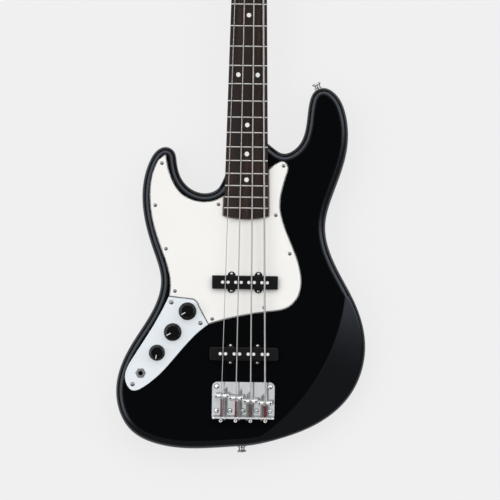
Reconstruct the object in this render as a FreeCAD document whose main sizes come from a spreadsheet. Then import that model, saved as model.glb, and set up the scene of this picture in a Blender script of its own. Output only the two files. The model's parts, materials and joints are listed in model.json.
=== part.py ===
"""Left-handed four-string electric bass guitar, modelled lying on its back.

The face looks up (+Z), the head points along +Y and the bass-string side is +X. Lengths are in
millimetres. Plan positions are measured from the bridge line on the centre line, which is where
the scale length ends.
"""
import FreeCAD, Part
import math
import os

import Sketcher

V = FreeCAD.Vector
UP = V(0, 0, 1)
ALONG = V(0, 1, 0)
ACROSS = V(1, 0, 0)

SIZES = {
    "scale_length": 863.6,
    "fret_count": 21,
    "fret_height": 1.1,
    "fret_width": 2.4,
    "fretboard_thickness": 6.5,
    "fretboard_radius": 240,
    "dot_diameter": 6.4,
    "dot_depth": 2,
    "side_dot_diameter": 2,
    "nut_width": 37.5,
    "nut_thickness": 4.5,
    "heel_width": 62.6,
    "neck_end": 246.5,
    "neck_end_bulge": 4.2,
    "heel_front": 364,
    "heel_thickness": 18.5,
    "heel_nose_radius": 12,
    "neck_depth_nut": 14.5,
    "neck_depth_heel": 17.5,
    "truss_rod_diameter": 6,
    "headstock_length": 214,
    "headstock_thickness": 15,
    "headstock_drop": 12.5,
    "headstock_ramp": 22,
    "string_spacing_nut": 9.33,
    "string_spacing_bridge": 20.4,
    "string_height_twelfth": 2.4,
    "string_height_nut": 0.5,
    "string_bend_radius": 6,
    "tail_hole_drop": 0.5,
    "string_e_diameter": 2.7,
    "string_a_diameter": 2.16,
    "string_d_diameter": 1.65,
    "string_g_diameter": 1.14,
    "compensation_e": 17.9,
    "compensation_a": 15.4,
    "compensation_d": 11.3,
    "compensation_g": 8.5,
    "body_width": 350.5,
    "body_length": 511,
    "body_thickness": 45,
    "edge_radius": 10.5,
    "forearm_arc_radius": 276.5,
    "forearm_slope": 15.5,
    "forearm_edge_radius": 8,
    "belly_depth": 13,
    "belly_length": 190,
    "belly_reach": 75,
    "pocket_depth": 16,
    "wood_gap": 0.1,
    "running_gap": 0.3,
    "shaft_gap": 0.06,
    "pickguard_thickness": 2.4,
    "seam_gap": 0.3,
    "control_plate_thickness": 1.5,
    "cavity_depth": 38,
    "cavity_radius": 14.5,
    "knob_diameter": 25,
    "tone_knob_diameter": 22.6,
    "knob_height": 17,
    "knob_lift": 0.8,
    "knob_recess_depth": 6,
    "pot_diameter": 24,
    "pot_height": 9,
    "bushing_diameter": 9.4,
    "bushing_height": 4.5,
    "control_nut_width": 13,
    "control_nut_height": 2.2,
    "shaft_diameter": 6,
    "shaft_length": 18,
    "jack_bore": 6.5,
    "jack_bush_length": 16,
    "jack_frame_diameter": 18,
    "jack_frame_height": 3,
    "pickup_width": 18.6,
    "neck_pickup_length": 92.4,
    "bridge_pickup_length": 96.6,
    "neck_pickup_place": 152,
    "bridge_pickup_place": 51,
    "pickup_height": 14,
    "pickup_stand": 9.2,
    "pickup_wall": 1.5,
    "pickup_ear_radius": 5.2,
    "pickup_ear_height": 3,
    "pickup_ear_spacing": 38,
    "pickup_ear_row": 19.4,
    "pickup_screw_row": 23.6,
    "pickup_head_diameter": 4.2,
    "pickup_rout_depth": 20,
    "pole_diameter": 4.76,
    "pole_length": 15.5,
    "pole_stand": 0.8,
    "pole_pair_spacing": 7.6,
    "coil_height": 10.5,
    "bridge_width": 88,
    "bridge_length": 52,
    "bridge_front": 11.5,
    "bridge_thickness": 2,
    "bridge_corner_radius": 7,
    "flange_height": 12,
    "flange_thickness": 2.5,
    "saddle_diameter": 7,
    "saddle_width": 19.9,
    "saddle_groove_depth": 0.8,
    "saddle_screw_diameter": 2.5,
    "saddle_screw_spacing": 15.6,
    "intonation_screw_diameter": 2.5,
    "intonation_screw_offset": 4.6,
    "intonation_head_diameter": 3.6,
    "intonation_head_height": 2,
    "intonation_reach": 7,
    "spring_wire": 0.55,
    "spring_diameter": 4.25,
    "spring_pitch": 1.6,
    "ball_end_diameter": 5,
    "ball_end_height": 4,
    "neck_plate_width": 46,
    "neck_plate_length": 50,
    "neck_plate_thickness": 1.8,
    "neck_plate_place": 272,
    "neck_screw_spacing_x": 34,
    "neck_screw_spacing_y": 38,
    "neck_screw_diameter": 4.4,
    "neck_screw_length": 40,
    "neck_screw_head": 1.2,
    "trim_screw_diameter": 2.6,
    "trim_screw_length": 11,
    "trim_head_diameter": 5.2,
    "trim_head_height": 1.4,
    "bridge_screw_diameter": 3.5,
    "bridge_screw_length": 22,
    "bridge_head_diameter": 6.4,
    "bridge_head_height": 2,
    "pickup_screw_length": 18,
    "strap_button_height": 10.5,
    "strap_button_flare": 2.5,
    "strap_button_rim": 1.3,
    "strap_button_sink": 2.2,
    "strap_button_diameter": 16,
    "strap_button_waist": 8.5,
    "strap_screw_diameter": 4,
    "strap_screw_length": 26,
    "first_tuner": 48,
    "tuner_spacing": 45,
    "post_diameter": 9.5,
    "post_height": 24,
    "post_string_height": 8,
    "ferrule_diameter": 16,
    "ferrule_flange": 1.6,
    "tuner_plate_thickness": 1.6,
    "tuner_plate_width": 32,
    "tuner_plate_length": 38,
    "tuner_plate_side": 3,
    "tuner_plate_back": 5,
    "tuner_screw_inset": 3,
    "lug_thickness": 2,
    "gear_module": 1,
    "gear_teeth": 20,
    "gear_thickness": 3.5,
    "worm_diameter": 9.8,
    "worm_core_diameter": 5.4,
    "worm_turns": 3.5,
    "worm_journal": 1.2,
    "spigot_diameter": 5.8,
    "worm_drop": 5.4,
    "key_shaft_diameter": 4.4,
    "key_reach": 34,
    "key_width": 27,
    "key_length": 22,
    "key_thickness": 7,
    "winding_gap": 0.5,
    "winding_turns": 3,
    "tree_place": 78,
    "tree_diameter": 14,
}

# How far a cutting tool runs past what it cuts.
THROUGH = 60

# Body outline, clockwise from the tail as seen from the front of a lefty: x, y from the bridge line.
DRAWN_WIDTH = 350.5
DRAWN_LENGTH = 511
BODY_OUTLINE = [
    (-1.5, -79), (-60, -83), (-116.5, -78.5), (-157.5, -59), (-179.5, -2.5), (-157, 65.5),
    (-127, 116.5), (-118.5, 152), (-129, 193), (-142, 235), (-146.5, 273), (-137, 321), (-126, 337),
    (-115, 341.5), (-103.5, 336.5), (-98.5, 319), (-87, 290.5), (-58.5, 277), (-40.5, 283.5),
    (-31, 301), (-17, 325), (-1, 346), (14, 354), (29, 348.5), (52.5, 334.5), (70.5, 343.5),
    (82.5, 370), (87, 406), (95.5, 424), (107.5, 428), (122.5, 421), (138.5, 391.5), (141, 340.5),
    (123.5, 281), (112, 231.5), (126.5, 179.5), (153.5, 129.5), (171, 64.5), (150, -6), (99.5, -49),
    (56.5, -66.5),
]
FOREARM_CENTRE = (-134, 160.5)
BELLY_POINT = (112, 231.5)
FOREARM_LIMITS = [(112, 231.5), (300, 231.5), (300, -300), (-60, -300), (-60, -83)]
GUARD_HORN_EDGE = [
    (-107, 130.5), (-105.5, 151), (-111, 176), (-123.5, 210), (-133, 243.5), (-136, 273),
    (-133, 303), (-124.5, 323.5), (-114.5, 337.5),
]
GUARD_STRING_EDGE = [
    (-114.5, 337.5), (-111.5, 316), (-104.5, 295), (-90.5, 275.5), (-73.5, 267), (-56.5, 265),
    (-40, 269), (-28.5, 275.5), (27.5, 308), (41, 320), (52.5, 323.5), (58.5, 316), (57, 305.5),
    (50, 280), (48, 260.5), (52.5, 238), (66, 204), (77.5, 170.5), (79.5, 153.5), (73.5, 129.5),
    (58.5, 116), (38.5, 111.5), (13.5, 108), (-20.5, 101), (-51, 92),
]
PLATE_EDGE = [
    (-107, 130.5), (-117.5, 108.5), (-137, 74.5), (-158.5, 40), (-166.5, 13), (-157, -2),
    (-137.5, 5), (-112.5, 27), (-79, 66.5), (-51, 92),
]
PLATE_SEAM = [(-51, 92), (-65.5, 118), (-73.5, 127), (-107, 130.5)]
SEAM_CORNER = (-68.4, 123.8)
GUARD_SCREWS = [
    (-119.5, 318.5), (-128, 259), (-112, 198), (-98.5, 138.5), (-39, 261.5), (52, 317), (42, 247.5),
    (62.5, 193.5), (27.5, 117), (-45.5, 100),
]
PLATE_SCREWS = [(-103.3, 122.5), (-61.9, 93.9), (-156.4, 6.3)]
KNOBS = {
    "neck_volume": (-80.4, 110.2),
    "bridge_volume": (-100.9, 80.5),
    "tone": (-122.7, 51.1),
}
JACK = (-145.3, 22.1)
HEAD_DRAWN_LENGTH = 214
HEAD_OUTLINE = [
    (21.5, 7), (36, 16), (45.5, 29), (44, 46), (32, 105), (22.5, 160), (17, 192), (6, 210), (-9, 213.5),
    (-24, 205), (-31, 185), (-31, 150), (-27, 90), (-22, 40), (-19.3, 14),
]
MARKED_FRETS = [3, 5, 7, 9, 12, 15, 17, 19]
OCTAVE_FRET = 12
STRAP_POINTS = {"tail": (-1.5, -79), "horn": (100, 426)}

doc = FreeCAD.newDocument("electric_bass")
sheet = doc.addObject("Spreadsheet::Sheet", "Sizes")
for row, (alias, amount) in enumerate(SIZES.items(), start=1):
    sheet.set("A%d" % row, alias)
    sheet.set("B%d" % row, str(amount))
    sheet.setAlias("B%d" % row, alias)
doc.recompute()

NODES = {}


def size(alias):
    return float(sheet.get(alias))


def number(text):
    return float(sheet.evalExpression(text))


def feature(label, shape):
    """A sub-part whose shape is built by Part's own functions."""
    item = doc.addObject("Part::Feature", label)
    item.Label = label
    item.Shape = shape
    NODES[label] = item
    return item


def group(label, shapes):
    return feature(label, Part.makeCompound(shapes))


def new_body(label, is_node=True):
    body = doc.addObject("PartDesign::Body", label)
    body.Label = label
    if is_node:
        NODES[label] = body
    return body


def sketch_on(body, role, height="0"):
    """A sketch on one of the body's origin planes, moved along the plane's normal by height."""
    plane = next(item for item in body.Origin.OriginFeatures if item.Role == role)
    sketch = body.newObject("Sketcher::SketchObject", body.Name + "_sketch")
    sketch.AttachmentSupport = (plane, [""])
    sketch.MapMode = "FlatFace"
    if height != "0":
        sketch.setExpression("AttachmentOffset.Base.z", height)
    return sketch


def lock(sketch, geometry, point, x, y):
    """Tie a sketch point to two expressions of the sheet's sizes."""
    for kind, axis, text in (("DistanceX", -2, x), ("DistanceY", -1, y)):
        if text == "0":
            sketch.addConstraint(Sketcher.Constraint("PointOnObject", geometry, point, axis))
        else:
            rule = Sketcher.Constraint(kind, -1, 1, geometry, point, number(text))
            index = sketch.addConstraint(rule)
            sketch.setExpression("Constraints[%d]" % index, text)


def draw_polygon(sketch, corners):
    """A closed outline through corners, each a pair of expressions."""
    spots = [V(number(x), number(y), 0) for x, y in corners]
    base = sketch.GeometryCount
    count = len(spots)
    for i in range(count):
        sketch.addGeometry(Part.LineSegment(spots[i], spots[(i + 1) % count]), False)
    for i in range(count):
        follower = base + (i + 1) % count
        sketch.addConstraint(Sketcher.Constraint("Coincident", base + i, 2, follower, 1))
    for i, (x, y) in enumerate(corners):
        lock(sketch, base + i, 1, x, y)


def draw_rectangle(sketch, width, length, x="0", y="0"):
    """A rectangle centred on x, y."""
    left, right = "%s - (%s) / 2" % (x, width), "%s + (%s) / 2" % (x, width)
    low, high = "%s - (%s) / 2" % (y, length), "%s + (%s) / 2" % (y, length)
    draw_polygon(sketch, [(left, low), (right, low), (right, high), (left, high)])


def draw_circle(sketch, radius, x="0", y="0"):
    centre = V(number(x), number(y), 0)
    circle = sketch.addGeometry(Part.Circle(centre, UP, number(radius)), False)
    lock(sketch, circle, 3, x, y)
    index = sketch.addConstraint(Sketcher.Constraint("Radius", circle, number(radius)))
    sketch.setExpression("Constraints[%d]" % index, radius)


def pad(body, sketch, length, reverse=False):
    item = body.newObject("PartDesign::Pad", body.Name + "_pad")
    item.Profile = sketch
    item.setExpression("Length", length)
    item.Reversed = reverse
    return item


def pocket(body, sketch, length=None, reverse=False):
    """A cut of the given depth, or right through both ways."""
    item = body.newObject("PartDesign::Pocket", body.Name + "_pocket")
    item.Profile = sketch
    if length is None:
        item.Type = 1
        item.Midplane = True
    else:
        item.setExpression("Length", length)
        item.Reversed = reverse
    return item


def turned(label, profile, is_node=False):
    """A body of revolution about Z from a profile of radius and height expressions."""
    body = new_body(label, is_node)
    sketch = sketch_on(body, "XZ_Plane")
    draw_polygon(sketch, profile)
    spin = body.newObject("PartDesign::Revolution", label + "_turn")
    spin.Profile = sketch
    spin.ReferenceAxis = (sketch, ["V_Axis"])
    doc.recompute()
    return body


def screw(label, head, head_height, shank, length):
    """A wood screw with its head's underside at z = 0, pointing down, with a domed head."""
    return turned(label, [
        ("0", "-%s" % length), ("%s / 4" % shank, "-%s" % length),
        ("%s / 2" % shank, "-%s + %s" % (length, shank)), ("%s / 2" % shank, "0"),
        ("%s / 2" % head, "0"), ("%s / 2" % head, "%s * 0.4" % head_height),
        ("%s * 0.32" % head, head_height), ("0", head_height),
    ])


def placed(shape, spot, turn=None):
    copy = shape.copy()
    copy.Placement = FreeCAD.Placement(spot, turn or FreeCAD.Rotation())
    return copy


def rod(radius, start, end):
    return Part.makeCylinder(radius, (end - start).Length, start, end - start)


def block(low, high):
    spread = high - low
    return Part.makeBox(spread.x, spread.y, spread.z, low)


def curve_through(points, closed=False):
    curve = Part.BSplineCurve()
    curve.interpolate(Points=points, PeriodicFlag=closed)
    return curve


# Levels and places worked out from the sheet

LONG = size("body_length") / DRAWN_LENGTH
WIDE = size("body_width") / DRAWN_WIDTH
TAIL_REACH = -STRAP_POINTS["tail"][1] * LONG + size("strap_button_height")
BRIDGE_Y = -(size("scale_length") + size("headstock_length") - TAIL_REACH) / 2
NUT_Y = BRIDGE_Y + size("scale_length")
BACK_Z = size("neck_plate_thickness") + size("neck_screw_head")
TOP_Z = BACK_Z + size("body_thickness")
POCKET_Z = TOP_Z - size("pocket_depth")
BOARD_BASE_Z = POCKET_Z + size("heel_thickness")
BOARD_Z = BOARD_BASE_Z + size("fretboard_thickness")
HEAD_Z = BOARD_Z - size("headstock_drop")
HEAD_BACK_Z = HEAD_Z - size("headstock_thickness")
NECK_END_Y = BRIDGE_Y + size("neck_end")
PLATE_TOP_Z = TOP_Z + size("bridge_thickness")
GUARD_TOP_Z = TOP_Z + size("pickguard_thickness")
CONTROL_TOP_Z = TOP_Z + size("control_plate_thickness")
FLANGE_Y = BRIDGE_Y + size("bridge_front") - size("bridge_length")
GAP = size("running_gap")


def on_plan(point, z=0):
    """A point drawn on the body's plan, at the body's size."""
    return V(point[0] * WIDE, BRIDGE_Y + point[1] * LONG, z)


def drawn(point, z=0):
    """A point on the body's plan at the size that it was drawn."""
    return V(point[0], BRIDGE_Y + point[1], z)


def stretched(shape):
    """A shape made at the size that the body was drawn, at the body's size."""
    if WIDE == LONG == 1:
        return shape
    about_bridge = BRIDGE_Y * (1 - LONG)
    return shape.transformGeometry(FreeCAD.Matrix(WIDE, 0, 0, 0, 0, LONG, 0, about_bridge))


def half_width(y):
    """Half the neck's width at y."""
    share = (NUT_Y - y) / (NUT_Y - NECK_END_Y)
    return (size("nut_width") + share * (size("heel_width") - size("nut_width"))) / 2


def crown(x):
    """Height of the cambered fretboard at x."""
    radius = size("fretboard_radius")
    return BOARD_Z - radius + math.sqrt(radius ** 2 - x ** 2)


def fret_y(number_of_fret):
    return BRIDGE_Y + size("scale_length") * 2 ** (-number_of_fret / 12)


def neck_plan(z, grow=0, front=None):
    """The neck's plan from its rounded end to front (or the nut), as a face at z."""
    front = NUT_Y if front is None else front
    end_half = half_width(NECK_END_Y) + grow
    front_half = half_width(front) + grow
    end_y = NECK_END_Y - grow
    corners = [V(-end_half, end_y, z), V(end_half, end_y, z)]
    corners += [V(front_half, front, z), V(-front_half, front, z)]
    bulge = V(0, end_y - size("neck_end_bulge"), z)
    edges = [Part.Arc(corners[0], bulge, corners[1]).toShape()]
    for start, end in ((1, 2), (2, 3), (3, 0)):
        edges.append(Part.LineSegment(corners[start], corners[end]).toShape())
    return Part.Face(Part.Wire(edges))


class StringLine:
    """Where one string runs: its plan line, its heights and the pieces at both ends."""

    def __init__(self, name, slot):
        self.name = name
        self.radius = size("string_%s_diameter" % name) / 2
        self.side = 1 if slot > 0 else -1
        self.saddle_y = BRIDGE_Y - size("compensation_%s" % name)
        self.bridge_x = slot * size("string_spacing_bridge")
        self.nut_x = slot * size("string_spacing_nut")
        twelfth_x = (self.bridge_x + self.nut_x) / 2
        over_fret = size("fret_height") + self.radius
        self.nut_z = crown(self.nut_x) + over_fret + size("string_height_nut")
        twelfth_z = crown(twelfth_x) + over_fret + size("string_height_twelfth")
        rise = (twelfth_z - self.nut_z) / (size("scale_length") / 2)
        self.saddle_z = self.nut_z + rise * (NUT_Y - self.saddle_y)
        self.barrel_z = (self.saddle_z - self.radius - GAP + size("saddle_groove_depth")
                         - size("saddle_diameter") / 2)
        self.screw_x = self.bridge_x - self.side * size("intonation_screw_offset")
        self.tail_z = self.barrel_z - size("tail_hole_drop")

    def way(self):
        return V(self.nut_x - self.bridge_x, size("scale_length"), 0).normalize()

    def x_at(self, y):
        share = (y - BRIDGE_Y) / size("scale_length")
        return self.bridge_x + share * (self.nut_x - self.bridge_x)


STRINGS = [StringLine("e", 1.5), StringLine("a", 0.5), StringLine("d", -0.5), StringLine("g", -1.5)]

# Screws, one master each; groups place copies of them

trim_screw = screw("trim_screw", "Sizes.trim_head_diameter", "Sizes.trim_head_height",
                   "Sizes.trim_screw_diameter", "Sizes.trim_screw_length")
bridge_screw = screw("bridge_screw", "Sizes.bridge_head_diameter", "Sizes.bridge_head_height",
                     "Sizes.bridge_screw_diameter", "Sizes.bridge_screw_length")
pickup_screw = screw("pickup_screw", "Sizes.pickup_head_diameter", "Sizes.trim_head_height",
                     "Sizes.trim_screw_diameter", "Sizes.pickup_screw_length")
neck_screw = screw("neck_screw", "2 * Sizes.neck_screw_diameter", "Sizes.neck_screw_head",
                   "Sizes.neck_screw_diameter", "Sizes.neck_screw_length")
UPSIDE_DOWN = FreeCAD.Rotation(ACROSS, 180)


def hole(spot, diameter, depth):
    """A pilot hole for a screw, from spot downwards."""
    radius = size(diameter) / 2 + size("wood_gap")
    return rod(radius, spot + UP, spot - UP * (size(depth) + size("running_gap")))


def pickup_screw_spots(kind):
    centre_y = BRIDGE_Y + size(kind + "_pickup_place")
    step_x = size("pickup_ear_spacing") / 2
    step_y = size("pickup_screw_row") / 2
    z = TOP_Z + size("pickup_stand") - size("pickup_height") / 2 + size("pickup_ear_height") / 2
    return [V(sx * step_x, centre_y + sy * step_y, z) for sx in (-1, 1) for sy in (-1, 1)]


def neck_screw_spots():
    centre_y = BRIDGE_Y + size("neck_plate_place")
    step_x = size("neck_screw_spacing_x") / 2
    step_y = size("neck_screw_spacing_y") / 2
    z = size("neck_screw_head")
    return [V(sx * step_x, centre_y + sy * step_y, z) for sx in (-1, 1) for sy in (-1, 1)]


def bridge_screw_spots():
    edge = size("bridge_width") / 2 - size("bridge_head_diameter")
    front = BRIDGE_Y + size("bridge_front") - size("bridge_head_diameter")
    back = FLANGE_Y + size("flange_thickness") + 1.4 * size("bridge_head_diameter")
    spots = [V(x, front, PLATE_TOP_Z) for x in (-edge, edge)]
    return spots + [V(edge * step / 2, back, PLATE_TOP_Z) for step in (-2, -1, 0, 1, 2)]


guard_screw_spots = [on_plan(point, GUARD_TOP_Z) for point in GUARD_SCREWS]
plate_screw_spots = [on_plan(point, CONTROL_TOP_Z) for point in PLATE_SCREWS]
NECK_SCREW_HOLES = [hole(spot + UP * size("neck_screw_length"), "neck_screw_diameter", "neck_screw_length")
                    for spot in neck_screw_spots()]

# Body

drawn_curve = curve_through([drawn(point, BACK_Z) for point in BODY_OUTLINE], closed=True)
body_curve = stretched(drawn_curve.toShape()).Edges[0].Curve


def strap_seat(name):
    """The point on the body's side wall where a strap button sits, and the way it points."""
    near = on_plan(STRAP_POINTS[name], BACK_Z)
    along = body_curve.parameter(near)
    tangent = body_curve.tangent(along)[0]
    outward = tangent.cross(UP).normalize()
    spot = body_curve.value(along)
    if Part.Face(Part.Wire([body_curve.toShape()])).isInside(spot + outward, 0.01, True):
        outward = outward * -1
    return spot + UP * (size("body_thickness") / 2) + outward * size("wood_gap"), outward


def slot_prism(start, end, radius, low, high):
    """A round-ended slot from start to end, between two heights."""
    way = (end - start).normalize()
    side = way.cross(UP) * radius
    a, b, c, d = start + side, end + side, end - side, start - side
    edges = [
        Part.LineSegment(a, b).toShape(), Part.Arc(b, end + way * radius, c).toShape(),
        Part.LineSegment(c, d).toShape(), Part.Arc(d, start - way * radius, a).toShape(),
    ]
    face = Part.Face(Part.Wire(edges))
    face.translate(UP * low)
    return face.extrude(UP * (high - low))


def pickup_rout(kind):
    length, width = size(kind + "_pickup_length"), size("pickup_width")
    centre = V(0, BRIDGE_Y + size(kind + "_pickup_place"), 0)
    reach = V(length / 2 + GAP, width / 2 + GAP, 0)
    low = TOP_Z - size("pickup_rout_depth")
    return block(centre - reach + UP * low, centre + reach + UP * (TOP_Z + THROUGH))


def forearm_tool():
    """What the forearm contour takes off the top: all above a cone, within its limits."""
    slope = math.tan(math.radians(size("forearm_slope")))
    radius = size("forearm_arc_radius")
    deep, tall = size("body_thickness"), size("body_thickness") / 2
    centre = drawn(FOREARM_CENTRE, TOP_Z - deep)
    cone = Part.makeCone(radius + deep / slope, radius - tall / slope, deep + tall, centre, UP)
    corners = [drawn(point, BACK_Z) for point in FOREARM_LIMITS]
    limits = Part.Face(Part.makePolygon(corners + corners[:1]))
    return limits.extrude(UP * (size("body_thickness") + THROUGH)).cut(cone)


def belly_tool():
    """A shallow scoop in the back at the bass-side waist, where the player's ribs go."""
    length, reach, depth = size("belly_length"), size("belly_reach"), size("belly_depth")
    radius = (length ** 2 / 4 + depth ** 2) / (2 * depth)
    waist = on_plan(BELLY_POINT, BACK_Z)
    way = V(reach, 0, depth)
    lower = V(depth, 0, -reach).normalize() * radius
    start = waist + V(-reach, 0, 0) + lower - way
    return rod(radius, start, start + way * 4)


def make_body():
    outline = doc.addObject("Part::Feature", "body_outline")
    outline.Shape = Part.Face(Part.Wire([drawn_curve.toShape()]))
    blank = doc.addObject("Part::Extrusion", "body_blank")
    blank.Base = outline
    blank.DirMode = "Custom"
    blank.Dir = UP
    blank.Solid = True
    blank.setExpression("LengthFwd", "Sizes.body_thickness")
    doc.recompute()
    rims = [e for e in blank.Shape.Edges if abs(e.Vertexes[0].Z - e.Vertexes[-1].Z) < 1]
    rounded = blank.Shape.makeFillet(size("edge_radius"), rims)
    shaped = rounded.cut(forearm_tool())
    slope_face = next(f for f in shaped.Faces if isinstance(f.Surface, Part.Cone))
    crest = min(slope_face.Edges, key=lambda e: TOP_Z - e.BoundBox.ZMin)
    soft_edges = [e for e in slope_face.Edges if not e.isSame(crest)]
    shaped = shaped.makeFillet(size("forearm_edge_radius"), soft_edges)
    shaped = stretched(shaped).cut(belly_tool())
    first, last = on_plan(KNOBS["neck_volume"]), on_plan(JACK)
    cavity_floor = TOP_Z - size("cavity_depth")
    heel_front = BRIDGE_Y + size("heel_front")
    tools = [
        neck_plan(POCKET_Z, size("wood_gap"), heel_front).extrude(UP * THROUGH),
        slot_prism(first, last, size("cavity_radius"), cavity_floor, TOP_Z + THROUGH),
        pickup_rout("neck"), pickup_rout("bridge"),
    ] + NECK_SCREW_HOLES
    for spots, name in ((guard_screw_spots, "trim"), (plate_screw_spots, "trim"),
                        (bridge_screw_spots(), "bridge")):
        tools += [hole(spot, name + "_screw_diameter", name + "_screw_length") for spot in spots]
    for kind in ("neck", "bridge"):
        tools += [hole(spot, "trim_screw_diameter", "pickup_screw_length")
                  for spot in pickup_screw_spots(kind)]
    for name in STRAP_POINTS:
        seat, outward = strap_seat(name)
        radius = size("strap_screw_diameter") / 2 + size("wood_gap")
        depth = size("strap_screw_length") + GAP
        tools.append(rod(radius, seat + outward * THROUGH, seat - outward * depth))
    feature("body", shaped.cut(tools))


# Neck, fretboard and what they carry


def tangent_arc(level_end, other_end):
    """An arc in a plane of constant x that leaves level_end horizontally and ends at other_end."""
    run, rise = other_end.y - level_end.y, other_end.z - level_end.z
    radius = (run ** 2 + rise ** 2) / (2 * abs(rise))
    half = math.atan2(abs(rise), abs(run))
    middle = V(level_end.x, level_end.y + math.copysign(radius * math.sin(half), run),
               level_end.z + math.copysign(radius * (1 - math.cos(half)), rise))
    return Part.Arc(level_end, middle, other_end).toShape()


def neck_section(y, depth):
    """The neck's D-shaped section at y: flat under the fretboard and round behind."""
    half = half_width(y)
    left, right = V(-half, y, BOARD_BASE_Z), V(half, y, BOARD_BASE_Z)
    back = V(0, y, BOARD_BASE_Z - depth)
    return Part.Wire([Part.LineSegment(left, right).toShape(), Part.Arc(right, back, left).toShape()])


def headstock():
    """A plain paddle with the tuners in line on the bass side, stepped down from the neck."""
    half = half_width(NUT_Y)
    reach = size("headstock_length") / HEAD_DRAWN_LENGTH
    points = [V(x, NUT_Y + y * reach, HEAD_BACK_Z) for x, y in HEAD_OUTLINE]
    neck_side = NUT_Y - size("headstock_ramp")
    tail_half = half_width(neck_side)
    right, left = V(half, NUT_Y, HEAD_BACK_Z), V(-half, NUT_Y, HEAD_BACK_Z)
    low_right, low_left = V(tail_half, neck_side, HEAD_BACK_Z), V(-tail_half, neck_side, HEAD_BACK_Z)
    edges = [
        Part.LineSegment(low_left, low_right).toShape(), Part.LineSegment(low_right, right).toShape(),
        curve_through([right] + points + [left]).toShape(), Part.LineSegment(left, low_left).toShape(),
    ]
    blank = Part.Face(Part.Wire(edges)).extrude(UP * (BOARD_BASE_Z - HEAD_BACK_Z))
    wide = 2 * size("headstock_length")
    shelf = NUT_Y + size("nut_thickness") + 1
    scoop_foot = V(-wide, shelf + 3 * (BOARD_BASE_Z - HEAD_Z), HEAD_Z)
    scoop_top = V(-wide, shelf, BOARD_BASE_Z)
    far_y = NUT_Y + 2 * size("headstock_length")
    scoop = Part.Wire([
        tangent_arc(scoop_foot, scoop_top),
        Part.makePolygon([scoop_top, V(-wide, shelf, BOARD_Z), V(-wide, far_y, BOARD_Z),
                          V(-wide, far_y, HEAD_Z), scoop_foot]),
    ])
    ramp_foot = V(-wide, NUT_Y + size("nut_thickness") * 3, HEAD_BACK_Z)
    ramp_top = V(-wide, neck_side, BOARD_BASE_Z - 4)
    ramp = Part.Wire([
        tangent_arc(ramp_foot, ramp_top),
        Part.makePolygon([ramp_top, V(-wide, neck_side - 5, ramp_top.z),
                          V(-wide, neck_side - 5, HEAD_BACK_Z), ramp_foot]),
    ])
    tools = [Part.Face(wire).extrude(ACROSS * 2 * wide) for wire in (scoop, ramp)]
    return blank.cut(tools)


def make_neck():
    heel_y = BRIDGE_Y + size("heel_front")
    shaft = Part.makeLoft([neck_section(NECK_END_Y, size("neck_depth_heel")),
                           neck_section(NUT_Y, size("neck_depth_nut"))], True, True)
    heel = neck_plan(POCKET_Z, 0, heel_y).extrude(UP * size("heel_thickness"))
    nose = next(e for e in heel.Edges if abs(e.CenterOfMass.y - heel_y) < 0.01
                and abs(e.CenterOfMass.z - POCKET_Z) < 0.01)
    heel = heel.makeFillet(size("heel_nose_radius"), [nose])
    keep = neck_plan(POCKET_Z, 0).extrude(UP * size("heel_thickness"))
    shape = shaft.common(keep).fuse([heel, headstock()]).removeSplitter()
    tools = NECK_SCREW_HOLES + [truss_rod_shape(size("wood_gap"))]
    tools += [rod(size("ferrule_diameter") / 2 + size("wood_gap"), post_spot(s, HEAD_BACK_Z - 5),
                  post_spot(s, HEAD_Z + 5)) for s in STRINGS]
    for s in STRINGS:
        tools += [rod(size("trim_screw_diameter") / 2 + size("wood_gap"), spot,
                      spot + UP * (size("trim_screw_length") + 1)) for spot in tuner_screw_spots(s)]
    tree = tree_spot()
    tools.append(rod(size("trim_screw_diameter") / 2 + size("wood_gap"), tree - UP * 10, tree))
    feature("neck", shape.cut(tools))


def truss_rod_shape(grow):
    radius = size("truss_rod_diameter") / 2
    z = BOARD_BASE_Z - size("neck_depth_nut") / 2
    start = V(0, NECK_END_Y - size("neck_end_bulge") + grow, z)
    nut_end = start + ALONG * 14
    rod_part = rod(radius + grow, nut_end, V(0, NUT_Y - 30 + grow, z))
    return rod(radius + 1.5 + grow, start - ALONG * 2 * grow, nut_end).fuse(rod_part)


def camber_tool():
    """A long cylinder whose top is the fretboard's cambered face."""
    radius = size("fretboard_radius")
    start = V(0, NECK_END_Y - 20, BOARD_Z - radius)
    return rod(radius, start, start + ALONG * (NUT_Y - start.y + THROUGH))


def dot_spots():
    """Places of the position markers, one or two to a fret."""
    for fret in MARKED_FRETS:
        y = (fret_y(fret) + fret_y(fret - 1)) / 2
        step = half_width(y) / 2
        for x in ((-step, step) if fret == OCTAVE_FRET else (0,)):
            yield V(x, y, BOARD_Z)


def side_dot_spots():
    """Places of the small markers on the bass-side edge of the fretboard, where the player looks."""
    for fret in MARKED_FRETS:
        y = (fret_y(fret) + fret_y(fret - 1)) / 2
        step = 2 * size("side_dot_diameter") if fret == OCTAVE_FRET else 0
        for place in sorted({y - step, y + step}):
            yield V(half_width(place), place, BOARD_BASE_Z + size("fretboard_thickness") * 0.4)


def make_fretboard():
    board = neck_plan(BOARD_BASE_Z).extrude(UP * size("fretboard_thickness")).common(camber_tool())
    radius, depth = size("dot_diameter") / 2, size("dot_depth")
    sink = UP * (depth + size("fretboard_radius") / 100)
    play = size("wood_gap") / 2
    sockets = [rod(radius + play, spot - sink, spot + UP * sink.z) for spot in dot_spots()]
    dots = [rod(radius, spot - sink, spot + UP * sink.z).common(board) for spot in dot_spots()]
    small = size("side_dot_diameter") / 2
    for spot in side_dot_spots():
        inner, outer = spot - ACROSS * depth, spot + ACROSS * depth
        sockets.append(rod(small + play, inner, outer))
        dots.append(rod(small, inner, outer).common(board))
    feature("fretboard", board.cut(sockets))
    group("position_dots", dots)


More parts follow.
